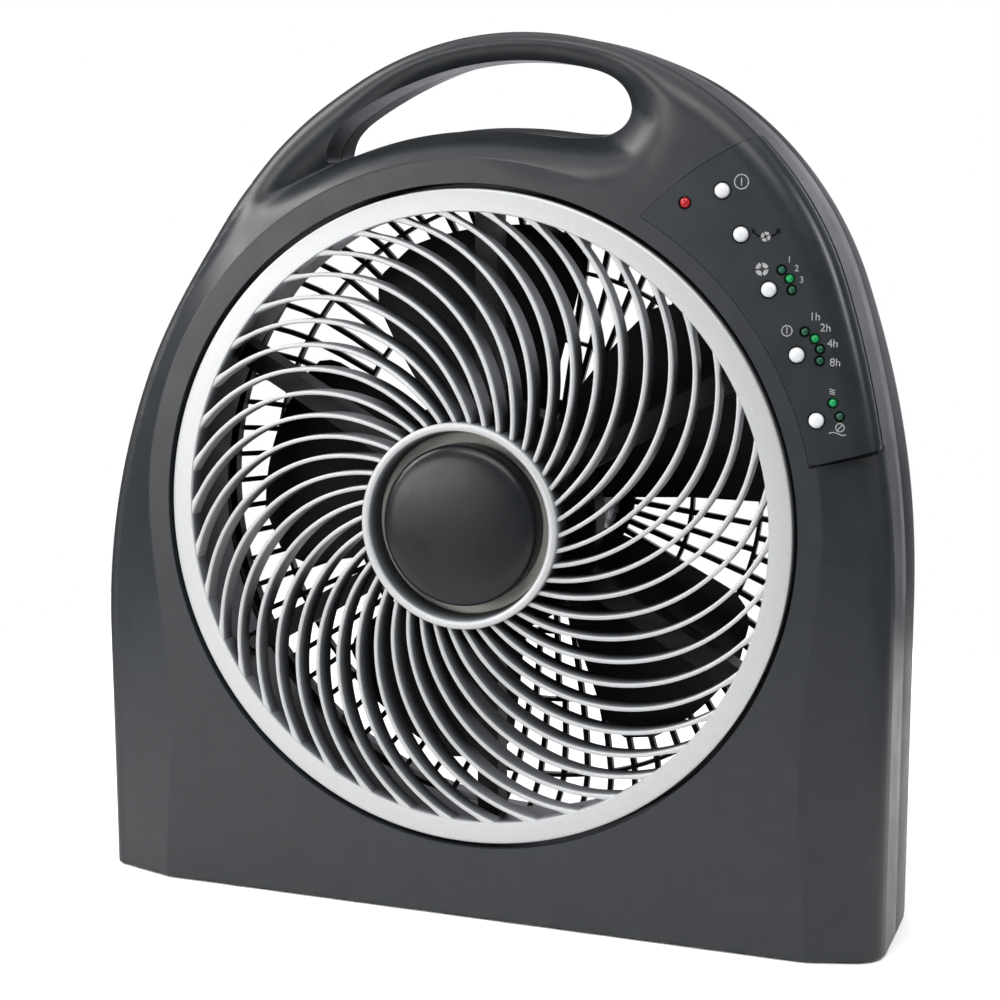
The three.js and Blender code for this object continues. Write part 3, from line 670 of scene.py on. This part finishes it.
def front_shell():
    outer = front_outline()
    bottom = bottom_edge(outer)
    outer = outer + bottom
    pocket = panel_pocket()
    face = field_mesh("face", outer, [circle(OPENING_R), HOLE, pocket], front_height, 3.6, crease_rows())
    b = Builder()
    # outer wall with a little draft, then a step in to the joint's land
    front = loop_at(outer, front_height)
    full = front_outline(-REAR_PROUD) + bottom
    land = [(x * 0.986, z + 2.5 if z < 5 else z - 2.4 * smooth(z, 200, 420)) for x, z in outer]
    rings = [front]
    for share in (0.3, 0.65, 1.0):
        rings.append([(p[0] + (q[0] - p[0]) * share, p[1] + (PARTING_Y - 0.5 - p[1]) * share,
                       p[2] + (q[1] - p[2]) * share) for p, q in zip(front, full)])
    rings.append([(x * 0.999, PARTING_Y, z + (0.3 if z < 5 else -0.2)) for x, z in full])
    b.strip(rings + [at_depth(land, PARTING_Y), at_depth(land, PARTING_Y - 6)])
    # wall of the handle opening
    edge = loop_at(HOLE, front_height)
    wall = [edge, [(x, max(y + 1.0, LINER_FROM - 0.3), z) for x, y, z in edge]]
    for d in (0.3, 4.0):
        moved = offset_loop(HOLE, d)
        wall.append([(x, max(y + 1.3, LINER_FROM), z) for (x, z), (_, y, _) in zip(moved, edge)])
    b.strip(wall, flip=True)
    # air opening: a step in to the duct, then the duct's inside and outside
    b.strip([at_depth(circle(r), y) for r, y in (
        (OPENING_R, 0.0), (OPENING_R - 0.25, 0.7), (OPENING_R - 0.4, 21.9), (DUCT_R, 22.2),
        (DUCT_R, PARTING_Y), (DUCT_R + 2.4, PARTING_Y), (DUCT_R + 2.4, 24.6))], flip=True)
    # wall of the panel's pocket
    rim = loop_at(pocket, front_height)
    b.strip([rim, [(x, y + 4.2, z) for x, y, z in rim]], flip=True)
    return join_meshes("front_housing", [face, b.build("walls", 40.0)])


# ---- rear shell
BACK_WELL_Y = 66        # floor of the screw wells
REAR_RIM_Y = 92         # front of the rear opening's rim
SCREW_WELL_R = 4.6
GLAND_AT, GLAND_HOLE_R = (150.0, 20.0), 7.4


def rear_hole_point(x, z):
    """The rear half's opening stands a little higher, and cuts in under the bar on the left."""
    over = z - AXIS_Z - math.sqrt(HOLE_LOWER_R ** 2 - x * x)
    under_bar = smooth(-x, -15, 60) * smooth(over, 1, 9)
    return (x, z + 1.8 + 1.2 * math.exp(-((x - 40) / 45.0) ** 2) - 2.8 * float(under_bar))


REAR_HOLE = [rear_hole_point(x, z) for x, z in HOLE]


def rear_height(x, z):
    """Depth of the rear surface, chamfered into the sides and sloping out to a deeper base."""
    x, z = np.asarray(x, float).ravel(), np.asarray(z, float).ravel()
    share = np.clip((AXIS_Z - z) / AXIS_Z, 0, 1)
    back = 105.0 + 24.0 * share * share
    wall = 83.0 - 15.0 * smooth(z, 214, 400)
    w = 26.0 + 22.0 * share * share
    q = np.clip((w - wall_distance(x, z)) / w, 0, 1)
    y = back - (back - wall) * q ** 1.5
    y -= 52.0 * np.clip(1 - polyline_distance(x, z, REAR_HOLE) / 34.0, 0, 1) ** 2.2
    return np.maximum(y, LINER_FROM + 11) - 3.0 * round_edge((3.0 - (z - BASE_Z)) / 3.0)


def rear_shell():
    outer = front_outline(-REAR_PROUD)
    outer = outer + bottom_edge(outer)
    opening, lip = circle(REAR_OPENING_R), circle(REAR_OPENING_R + 2.5)
    screws = [node_centre(n) for n in numbered("case_screw", 6)]
    wells = [circle(SCREW_WELL_R, 28, at) for at in screws]
    rows = [front_outline(k) for k in (1.5, 4.0, 7.0, 11.0, 16.0, 21.0, 26.0)]
    rows += [offset_loop(REAR_HOLE, k) for k in (1.0, 2.5, 4.5, 7.0, 10.0, 14.0, 19.0)]
    rows += [[(x, BASE_Z + k) for x in np.arange(-220, 221, 4.0)] for k in (0.6, 1.6)]
    holes = [opening, REAR_HOLE, circle(GLAND_HOLE_R, 32, GLAND_AT)] + wells
    face = field_mesh("rear face", outer, holes, rear_height, 4.6, rows, sign=-1.0)
    b = Builder()
    # the joint's land, then the outer wall
    start = PARTING_Y + GAP
    land = [(x * 0.9885, z + (2.4 if z < 5 else 0.0) - (2.4 if z > 300 else 0)) for x, z in outer]
    b.strip([at_depth(land, start + 6), at_depth(land, start),
             [(x * 0.999, start, z + (0.3 if z < 5 else -0.2)) for x, z in outer],
             at_depth(outer, start + 0.5), loop_at(outer, rear_height)])
    # wall of the handle opening
    liner = LINER_FROM + GAP
    b.strip([at_depth(offset_loop(HOLE, 4.0), liner), at_depth(offset_loop(HOLE, 0.3), liner),
             at_depth(HOLE, liner + 0.3), loop_at(REAR_HOLE, rear_height)], flip=True)
    # rim of the rear opening, and the screw wells
    b.strip([at_depth(opening, REAR_RIM_Y), loop_at(opening, rear_height)], flip=True)
    b.strip([at_depth(opening, REAR_RIM_Y), at_depth(lip, REAR_RIM_Y), at_depth(lip, REAR_RIM_Y + 8)])
    for well, at in zip(wells, screws):
        b.strip([at_depth(well, BACK_WELL_Y), loop_at(well, rear_height)], flip=True)
        b.strip([at_depth(circle(2.2, 28, at), BACK_WELL_Y), at_depth(well, BACK_WELL_Y)])
    return join_meshes("rear_housing", [face, b.build("rear walls", 40.0)])


finish_piece(front_shell(), charcoal, "housing", "housing", "front_shell")
finish_piece(rear_shell(), charcoal, "housing", "housing", "rear_shell")


# ---- turning grille
LOUVRES = 42
LOUVRE_ARC_R = 92.2         # each louvre follows an arc whose centre is this far from the axis
LOUVRE_ARC_OFFSET = 84.5
LOUVRE_TURN = 78.26         # first arc centre, in degrees
LOUVRE_FROM_R, LOUVRE_TO_R = 52.0, 161.0
LOUVRE_HALF = 1.12          # half thickness, and its half at the back
LOUVRE_BACK_HALF = 0.75
DOME = ((50, -8.6), (57, -7.9), (70, -7.6), (77, -6.9), (95, -5.0), (112, -3.4), (130, -1.7), (146, -0.2),
        (163, 0.3))


def dome_y(r):
    """Depth of the grille's domed front."""
    return np.interp(r, *zip(*DOME))


def louvre_sections(index):
    stations = 40
    turn = LOUVRE_TURN + 360.0 / LOUVRES * index
    cx, cz = polar(LOUVRE_ARC_OFFSET, turn)
    w, back = LOUVRE_HALF, LOUVRE_BACK_HALF
    out = []
    for i in range(stations + 1):
        r = LOUVRE_FROM_R + (LOUVRE_TO_R - LOUVRE_FROM_R) * i / stations
        c = (r * r + LOUVRE_ARC_OFFSET ** 2 - LOUVRE_ARC_R ** 2) / (2 * r * LOUVRE_ARC_OFFSET)
        x, z = polar(r, turn - math.degrees(math.acos(max(-1, min(1, c)))))
        nx, nz = (x - cx) / LOUVRE_ARC_R, (z - cz) / LOUVRE_ARC_R
        front_y = dome_y(r)
        depth = 15.0 - 5.0 * smooth(r, 110, 160)
        web = 1.8 * smooth(r, 154, 160.5) ** 2
        profile = [(-w, 0.9), (-w * 0.86, 0.32), (-w * 0.5, 0.06), (0, 0.0), (w * 0.5, 0.06),
                   (w * 0.86, 0.32), (w, 0.9), (w * 0.95, depth * 0.5), (w * back, depth),
                   (-w * back, depth), (-w * 0.95, depth * 0.5)]
        ring = []
        for s, d in profile:
            across = s + (web if s > 0.3 else 0.0)
            ring.append((x + nx * across, front_y + d, z + nz * across))
        out.append(ring)
    return out


def turning_grille():
    b = Builder()
    for i in range(LOUVRES):
        b.solid(louvre_sections(i))
    blades = b.build("louvres", 50.0)
    rim = lathe("rim", [(171.4, 0.9), (170.9, 0.45), (169.8, 0.25), (161.4, -0.35), (160.3, -0.3),
                        (159.85, 0.3), (159.9, 3.0), (160.6, 11.0), (162.6, 11.0), (163.2, 3.4),
                        (169.0, 3.4), (169.2, 8.0), (171.5, 8.0)], 252, closed=True, angle=50)
    hub = lathe("hub", [(47.7, 5.6), (47.7, 2.6), (48.3, 0.0), (49.3, -9.6), (49.9, -10.5), (50.6, -10.8),
                        (52.4, -10.8), (53.2, -10.5), (53.6, -9.8), (53.7, 6.0), (52.0, 7.5), (50.5, 7.5),
                        (49.8, 5.6)], 168, closed=True, angle=45)
    ob = join_meshes("louvre_grille", [rim, hub, blades])
    mark_depth(ob)
    return ob


def mark_depth(ob):
    """Stores how deep each point lies behind the grille's domed front, for the paint's fade and the painted
    shade with depth.
    """
    me = ob.data
    at = np.zeros(3 * len(me.vertices))
    me.vertices.foreach_get("co", at)
    x, y, z = at.reshape(-1, 3).T / MM
    r = np.hypot(x, z - AXIS_Z)
    y = y - FRONT_Y / MM
    shade = np.clip((y - dome_y(r) - 0.7) / 11.0, 0, 1)
    # Painted shade: the hub recess's wall and the hub ring's outer wall darken quickly with depth.
    shade = np.where(r < 49.9, np.clip((y + 10.2) / 3.0, 0, 1), shade)
    shade = np.where((r > 49.9) & (r < 54), np.clip((y + 9.8) / 6.0, 0, 1), shade)
    me.attributes.new("shade", "FLOAT", "POINT").data.foreach_set("value", shade)


finish_piece(turning_grille(), silver, "grille", "silver_plastic", "turning_grille")
# Floor of the hub's recess, tinted brown as a painted reflection.
finish_piece(lathe("hub_floor", [(0.0, 4.0), (42.0, 4.0), (45.6, 3.8), (47.0, 3.2), (47.6, 2.2), (47.6, 5.6),
                                 (0.0, 5.6)], 144), recess_reflection_mat, "grille", "silver_plastic")
finish_piece(lathe("hub_cap", [(0.0, -12.5), (10.0, -12.4), (20.0, -12.1), (30.0, -11.45), (35.0, -10.95),
                               (38.6, -10.2), (40.6, -9.2), (41.7, -7.9), (42.0, -6.5), (42.0, 3.9),
                               (0.0, 3.9)], 144, angle=60), cap_mat, "grille", "housing", "grille_hub_cap")


# ---- grille support
def arm(b, angle):
    """Channel arm with two ribs, from the disc to the duct."""
    a = math.radians(angle)
    ux, uz = math.cos(a), math.sin(a)
    px, pz = -uz, ux
    profile = [(-6, 33), (-6, 47), (-4.6, 47), (-4.6, 36), (4.6, 36), (4.6, 47), (6, 47), (6, 33)]
    b.solid([[(ux * r + px * s, y, AXIS_Z + uz * r + pz * s) for s, y in profile]
             for r in (60.0, 90, 120, 150, DUCT_R - 0.6)])


def grille_support():
    b = Builder()
    for k in range(6):
        arm(b, 30 + 60 * k)
    arms = b.build("arms", 30)
    disc = lathe("disc", [(0.0, 36.2), (61.6, 36.2), (61.6, 24.2), (63.8, 24.2), (64.0, 39.0), (0.0, 39.0)],
                 96)
    return join_meshes("grille_support", [disc, arms])


finish_piece(grille_support(), black, "housing", "black_plastic", "grille_spider")


# ---- blade
WINGS = 5
WING_FROM_R, WING_TO_R = 26.0, 152.0
WING_THICK = 1.6


def wing(b, turn):
    """One wide swept wing with a near-radial trailing edge and rounded tip corners."""
    rows, cols = 22, 18
    front, back = [], []
    for j in range(rows + 1):
        v = j / rows
        r = WING_FROM_R + (WING_TO_R - WING_FROM_R) * v
        corner = max(0.0, (v - 0.80) / 0.20)
        drop = 1 - math.sqrt(max(0.0, 1 - corner ** 2.4)) if corner > 0 else 0.0
        lead = 3.0 + 9.0 * drop
        trail = 63.5 - 11.0 * v - 12.0 * drop
        row = []
        for i in range(cols + 1):
            t = i / cols
            x, z = polar(r, turn + lead + (trail - lead) * t)
            row.append((x, 94.0 - 23.0 * t - (6.0 - 2.5 * v) * math.sin(math.pi * t), z))
        front.append(row)
        back.append([row[0]] + [(x, y + WING_THICK, z) for x, y, z in row[1:-1]] + [row[-1]])
    w = cols + 1
    off = (rows + 1) * w
    faces = []
    for j in range(rows):
        for i in range(cols):
            a = j * w + i
            faces.append((a, a + 1, a + w + 1, a + w))
            faces.append((off + a, off + a + w, off + a + w + 1, off + a + 1))
    for i in range(cols):
        a = rows * w + i
        faces.append((a, a + 1, off + a + 1, off + a))
        faces.append((i, off + i, off + i + 1, i + 1))
    b.add([p for row in front + back for p in row], faces)


def fan_blade():
    b = Builder()
    for k in range(WINGS):
        wing(b, 360.0 / WINGS * k)
    wings = b.build("wings", 60)
    hub = lathe("blade hub", [(0.0, 68.4), (22.0, 68.4), (26.5, 69.8), (28.0, 72.5), (28.0, 95.5),
                              (26.0, 95.5), (0.0, 95.5)], 96)
    return join_meshes("blade_wheel", [hub, wings])


finish_piece(fan_blade(), blade_mat, "impeller", "black_plastic", "fan_blade")


# ---- rear guard
GUARD = ((50.0, 139.0), (86.0, 137.0), (126.0, 134.3), (148.0, 130.0), (168.0, 121.5), (178.0, 111.0),
         (184.0, 100.0), (186.5, 95.0))
GUARD_RIBS = ((72, (186.0, 182.0, 176.0, 168.0, 158.0, 148.0, 137.0, 126.0)),
              (54, (126.0, 106.0, 86.0, 66.0, 49.0)))
RIB_HALF, RIB_DEEP = 1.5, 3.0


def guard_y(r):
    """Depth of the guard's dome."""
    return float(np.interp(r, *zip(*GUARD)))


def rib(b, path):
    rings = []
    for i, (x, y, z) in enumerate(path):
        q, p = path[min(i + 1, len(path) - 1)], path[max(i - 1, 0)]
        t = Vector((q[0] - p[0], 0, q[2] - p[2])).normalized()
        nx, nz = -t.z * RIB_HALF, t.x * RIB_HALF
        front, back = y - RIB_DEEP, y + RIB_DEEP * 0.6
        rings.append([(x + nx, front, z + nz), (x - nx, front, z - nz),
                      (x - nx * 0.7, back, z - nz * 0.7), (x + nx * 0.7, back, z + nz * 0.7)])
    b.solid(rings)


def rear_guard():
    b = Builder()
    for count, radii in GUARD_RIBS:
        for k in range(count):
            at = [(r, polar(r, 360.0 / count * k)) for r in radii]
            rib(b, [(x, guard_y(r), z) for r, (x, z) in at])
    obs = [b.build("ribs", 30)]
    for r in (168.0, 126.0, 86.0):
        y = guard_y(r)
        obs.append(lathe("ring", [(r - 1.1, y - 3.2), (r + 1.1, y - 3.2), (r + 0.8, y + 1.9),
                                  (r - 0.8, y + 1.9)], 180, closed=True))
    obs.append(lathe("guard rim", [(187.0, 94.2), (187.0, 100.6), (182.5, 100.6), (182.5, 94.2)], ROUND,
                     closed=True))
    obs.append(lathe("guard disc", [(0.0, 138.2), (51.0, 138.2), (51.0, 140.6), (48.0, 141.2), (22.0, 141.4),
                                    (19.0, 142.2), (17.0, 145.0), (15.0, 146.0), (0.0, 146.0)], 120))
    return join_meshes("rear_guard", obs)


finish_piece(rear_guard(), black, "housing", "black_plastic", "rear_grille")


# ---- control panel
BUTTONS = ["power", "grille", "speed", "timer", "mode"]
LAMPS = numbered("speed", 3) + numbered("timer", 4) + numbered("mode", 2)
LIT = ("speed_2", "timer_2", "mode_1")
BUTTON_R = 3.65
LAMP_R = 2.05
RECEIVER_R = 2.6
WELLS = ([("button_" + n, BUTTON_R + 0.35) for n in BUTTONS] + [("lamp_" + n, LAMP_R + 0.3) for n in LAMPS]
         + [("receiver_window", RECEIVER_R + 0.35)])
JOINT_SHADOW_Y = (12.9, 15.3)       # depth span of the painted shadow strip in the joint along the panel's side
ON_LINE = 0.05              # a point this near the panel's lower edge lies on it


def panel_height(x, z):
    return front_height(x, z, True)


def on_lower_edge(x, z):
    return abs(z - panel_bottom(x)) < ON_LINE


def panel_skin():
    loop = panel_loop()
    holes = [circle(r, 28, node_centre(n)) for n, r in WELLS]
    rows = [front_outline(k) for k in (0.3, 0.9, 1.7, 2.7, 4.0, 5.6, 7.6)]
    face = field_mesh("panel face", loop, holes, panel_height, 3.4, rows)
    b = Builder()
    # the skirt wraps round the corner to the joint line, and drops deeper along the lower edge
    edge = loop_at(loop, panel_height)
    wrap = wall_distance(*np.array(loop).T) < 0.2
    b.strip([edge, [(x, 14.0 if side else (y + (9.5 if on_lower_edge(x, z) else 3.2)), z)
                    for (x, y, z), side in zip(edge, wrap)]])
    for ring in holes:
        mouth = loop_at(ring, panel_height)
        b.strip([mouth] + [[(x, y + d, z) for x, y, z in mouth] for d in (0.25, 5.0)], flip=True)
    return join_meshes("panel_skin", [face, b.build("panel walls", 30)])


def panel_joint_shadow():
    """Dark strip of painted shadow in the joint under the panel's lower edge and along its side."""
    b = Builder()
    low = [(x, z) for x, z in panel_loop() if on_lower_edge(x, z)]
    low = [(x, z) for x, z in low if wall_distance([x], [z])[0] > -0.2]
    rows = []
    for share in (0.0, 0.35, 0.7, 1.0):
        row = []
        for i, (x, z) in enumerate(low):
            z1, z2 = z - 1.0 - 2.0 * i / len(low), z + 0.4
            row.append((x, z1 + (z2 - z1) * share))
        rows.append([(x, front_height([x], [min(z, panel_bottom(x))])[0] - 0.14, z) for x, z in row])
    b.strip(rows, closed=False)
    side = panel_side(-0.5, -1.4)
    b.strip([at_depth(side, y) for y in JOINT_SHADOW_Y], closed=False)
    corner = [p for p in side if p[1] < panel_bottom(p[0]) + 1.2]
    b.strip([at_depth(corner, y) for y in (10.0, 14.7)], closed=False)
    return b.build("panel_joint_shadow", 30)


# Prints are thin slabs on the panel, in front of the flat face by PRINT_Y[0].
PRINT_Y = (-0.05, 0.1)
SMALL_FAN = (155.6, 362.2)


def slab(b, pts):
    """Thin flat shape on the panel, from an anticlockwise outline."""
    n = len(pts)
    b.add(at_depth(pts, PRINT_Y[0]) + at_depth(pts, PRINT_Y[1]),
          [tuple(range(n))] + [(i, i + n, (i + 1) % n + n, (i + 1) % n) for i in range(n)])


def annulus(b, cx, cz, r, w):
    n = 40
    verts = []
    for i in range(n + 1):
        for y in PRINT_Y:
            for rr in (r + w / 2, r + w / 2 - w):
                x, z = on_circle((cx, cz), rr, 360 * i / n)
                verts.append((x, y, z))
    faces = []
    for k in range(0, 4 * n, 4):
        m = k + 4
        faces += [(k, m, m + 1, k + 1), (k + 2, k, m, m + 2), (k + 1, k + 3, m + 3, m + 1)]
    b.add(verts, faces)


def stroke(b, pts, w):
    left, right = [], []
    for i, (x, z) in enumerate(pts):
        q, p = pts[min(i + 1, len(pts) - 1)], pts[max(i - 1, 0)]
        t = Vector((q[0] - p[0], q[1] - p[1])).normalized()
        left.append((x - t.y * w / 2, z + t.x * w / 2))
        right.append((x + t.y * w / 2, z - t.x * w / 2))
    for i in range(len(pts) - 1):
        slab(b, [right[i], right[i + 1], left[i + 1], left[i]])


def fan_icon(b, cx, cz, r, phase):
    """Four curved petals."""
    for a0 in range(phase, phase + 360, 90):
        pts = []
        for i in range(9):
            t = i / 8
            pts.append(on_circle((cx, cz), r * (1.0 - 0.06 * t), a0 + 70 * t))
        for i in range(6):
            t = i / 5
            rr = r * (0.42 - 0.30 * math.sin(math.pi * t) * (1 - t) + 0.12 * t)
            pts.append(on_circle((cx, cz), rr, a0 + 58 - 70 * t))
        slab(b, pts)


def text_mesh(body, x, z, size):
    cu = bpy.data.curves.new("label", "FONT")
    cu.body = body
    cu.size = size * MM
    cu.align_x = "CENTER"
    cu.align_y = "CENTER"
    cu.extrude = 0.00004
    ob = link(bpy.data.objects.new("label", cu))
    dg = bpy.context.evaluated_depsgraph_get()
    me = bpy.data.meshes.new_from_object(ob.evaluated_get(dg))
    bpy.data.objects.remove(ob)
    upright = Matrix.Rotation(math.radians(90), 4, "X")
    me.transform(Matrix.Translation(Vector(to_frame((x, -0.03, z)))) @ upright)
    return link(bpy.data.objects.new("label", me))


def panel_print():
    b = Builder()
    # two on signs, for power and the timer
    annulus(b, 143.4, 388.2, 3.4, 0.55)
    stroke(b, [(143.4, 386.3), (143.4, 390.1)], 0.55)
    annulus(b, 166.8, 317.5, 2.5, 0.5)
    stroke(b, [(166.8, 316.0), (166.8, 319.2)], 0.5)
    fan_icon(b, 154.1, 346.7, 3.3, 20)
    fan_icon(b, *SMALL_FAN, 2.4, 40)
    # breeze: crossed circle on a wave, and three short waves over the first lamp
    annulus(b, 193.4, 271.8, 2.0, 0.45)
    stroke(b, [(192.2, 270.4), (194.6, 273.2)], 0.45)
    stroke(b, [(188.2 + 8.2 * t / 12, 268.9 + 0.5 * math.sin(t * math.pi / 6) - (0.3 if t > 8 else 0))
               for t in range(13)], 0.45)
    for k in range(3):
        up = 287.9 + 0.95 * k
        stroke(b, [(188.0 + 2.6 * t / 6, up + 0.3 * math.sin(t * math.pi / 3)) for t in range(7)], 0.4)
    labels = (("1", 167.3, 351.3, 4.4), ("2", 170.9, 347.2, 4.4), ("3", 173.4, 341.8, 4.4),
              ("1h", 180.2, 324.4, 5.4), ("2h", 185.4, 319.2, 5.4), ("4h", 189.0, 311.8, 5.4),
              ("8h", 190.4, 302.8, 5.4))
    icons = b.build("icons", 30)
    return join_meshes("panel_print", [icons] + [text_mesh(*label) for label in labels])


def arrows():
    """The dark double arrow under the small fan sign."""
    b = Builder()
    cx, cz = SMALL_FAN
    for s in (-1, 1):
        pts = [(cx + s * (2.6 + 3.1 * t / 8), cz + 2.0 * (t / 8) ** 1.6) for t in range(9)]
        head = [(cx + s * 6.9, cz + 4.3), (cx + s * 4.5, cz + 2.9), (cx + s * 7.0, cz + 1.0)]
        stroke(b, pts[::s], 1.0)
        slab(b, head[::s])
    return b.build("turn_arrows", 30)


def button(n):
    ob = lathe("push_" + n, [(0.0, -2.6), (1.6, -2.5), (2.6, -2.2), (3.2, -1.75), (3.5, -1.1),
                             (BUTTON_R, -0.3), (BUTTON_R, 5.0), (0.0, 5.0)], 40, node_centre("button_" + n),
               angle=70)
    finish_piece(ob, white, n + "_button", "button", "button_" + n)


def lamp(n):
    ob = lathe("led_" + n, [(0.0, -0.15), (0.9, -0.05), (1.5, 0.2), (1.85, 0.6), (LAMP_R, 1.2), (LAMP_R, 5.0),
                            (0.0, 5.0)], 32, node_centre("lamp_" + n), angle=70)
    finish_piece(ob, green_on if n in LIT else green_off, "housing", "green_lens", "lamp_" + n)


def receiver():
    return lathe("receiver_lens", [(0.0, -0.5), (1.2, -0.4), (2.0, -0.05), (2.45, 0.5), (RECEIVER_R, 1.2),
                                   (RECEIVER_R, 5.0), (0.0, 5.0)], 36, node_centre("receiver_window"),
                 angle=70)


def collars():
    """Dark collars round the buttons and lenses."""
    rings = []
    for n, r in WELLS:
        profile = [(r, 1.4), (r, -0.06), (r + 0.45, -0.06), (r + 0.45, 0.3)]
        rings.append(lathe("collar", profile, 36, node_centre(n), closed=True))
    return join_meshes("lamp_collars", rings)


finish_piece(panel_skin(), panel_mat, "housing", "housing", "control_panel")
finish_piece(panel_print(), ink, "housing", "housing")
finish_piece(arrows(), dark_print_and_shadow, "housing", "housing")
finish_piece(panel_joint_shadow(), dark_print_and_shadow, "housing", "housing")
for name in BUTTONS:
    button(name)
for name in LAMPS:
    lamp(name)
finish_piece(receiver(), red_lens, "housing", "red_lens", "receiver_window")
finish_piece(collars(), dark_print_and_shadow, "housing", "housing")

# ---- drive, fasteners and feet
dress(aluminium, "grille_motor", "motor_front_bell", "motor_rear_bell")
dress(steel, "grille_drive_shaft", "motor_shaft", "motor_rotor", "motor_stator", "bearing_front",
      "bearing_rear")
dress(zinc, *numbered("spider_screw", 3), *numbered("motor_bolt", 4), *numbered("case_screw", 6))
dress(copper, "winding_front", "winding_rear")
dress(black, "blade_nut", "motor_capacitor")
dress(board_mat, "control_board", "power_board")
dress(rubber, "cord_gland", *numbered("foot", 4))


# ---- floor, light and camera
def pale_floor(half):
    """A small pale floor, so that its bounce doesn't wash out the dark plastic."""
    me = bpy.data.meshes.new("floor")
    corners = [(-half, -half, 0), (half, -half, 0), (half, half, 0), (-half, half, 0)]
    me.from_pydata(corners, [], [(0, 1, 2, 3)])
    m, nt, b = material("floor", (0.86, 0.86, 0.86), 0.7)
    colour = ramp(nt, noise(nt, 3.0, 2.0), [(0.2, (0.78, 0.78, 0.78)), (0.8, (0.80, 0.80, 0.80))])
    nt.links.new(colour, b.inputs["Base Color"])
    floor = link(bpy.data.objects.new("floor", me))
    put(floor, m)


def studio():
    """White to the camera, a dimmer soft fill to everything else."""
    world = bpy.data.worlds.new("studio")
    bpy.context.scene.world = world
    world.use_nodes = True
    nt = world.node_tree
    seen = nt.nodes["Background"]
    seen.inputs["Color"].default_value = (1, 1, 1, 1)
    seen.inputs["Strength"].default_value = 1.0
    fill = nt.nodes.new("ShaderNodeBackground")
    fill.inputs["Color"].default_value = (0.93, 0.96, 1.0, 1)
    fill.inputs["Strength"].default_value = 0.14
    path = nt.nodes.new("ShaderNodeLightPath")
    choose = nt.nodes.new("ShaderNodeMixShader")
    nt.links.new(path.outputs["Is Camera Ray"], choose.inputs["Fac"])
    nt.links.new(fill.outputs["Background"], choose.inputs[1])
    nt.links.new(seen.outputs["Background"], choose.inputs[2])
    nt.links.new(choose.outputs["Shader"], nt.nodes["World Output"].inputs["Surface"])


def overhead(strength, spread):
    sun = bpy.data.lights.new("overhead", "SUN")
    sun.energy = strength
    sun.angle = math.radians(spread)
    link(bpy.data.objects.new("overhead", sun))


def softbox(name, at, aim, size, power, colour=(1, 1, 1)):
    li = bpy.data.lights.new(name, "AREA")
    li.shape = "RECTANGLE"
    li.size, li.size_y = size
    li.energy = power
    li.color = colour
    ob = link(bpy.data.objects.new(name, li))
    ob.location = at
    ob.rotation_mode = "QUATERNION"
    ob.rotation_quaternion = (Vector(aim) - Vector(at)).to_track_quat("-Z", "Y")


def camera(at, azimuth, elevation, roll):
    """Angles in degrees: turned from straight ahead, tilted down, and rolled."""
    data = bpy.data.cameras.new("camera")
    data.lens = 70.0
    data.sensor_width = 36.0
    cam = link(bpy.data.objects.new("camera", data))
    cam.location = at
    az, el = math.radians(azimuth), math.radians(elevation)
    look = Vector((-math.sin(az) * math.cos(el), math.cos(az) * math.cos(el), -math.sin(el)))
    cam.rotation_mode = "QUATERNION"
    cam.rotation_quaternion = look.to_track_quat("-Z", "Y") @ Quaternion((0, 0, 1), math.radians(roll))
    bpy.context.scene.camera = cam


pale_floor(0.64)
bpy.context.scene.view_settings.view_transform = "Standard"
studio()
overhead(2.5, 80)
softbox("key", (-1.15, -1.8, 0.34), (0, 0, 0.22), (1.1, 0.62), 22)
softbox("upper_left", (-1.5, -0.5, 1.3), (0, 0, 0.3), (0.6, 0.9), 28)
softbox("strip", (1.45, -0.3, 0.95), (0.17, 0, 0.35), (0.2, 0.7), 14)
softbox("rim", (1.2, 1.6, 0.9), (0, 0, 0.25), (0.9, 1.4), 4, (0.88, 0.89, 1.0))
softbox("backdrop", (-0.15, 0.75, 0.32), (-0.15, 0, 0.3), (1.0, 0.6), 2.6, (0.92, 0.93, 1.0))
softbox("above", (0.1, -1.15, 1.25), (0, 0, 0.42), (1.3, 0.5), 20)
softbox("left_edge", (-1.5, -0.8, 0.68), (-0.15, 0, 0.38), (0.25, 0.45), 6, (1.0, 0.97, 0.93))
camera((0.3643, FRONT_Y - 0.9225, 0.3839), 20.48, 9.02, -0.15)
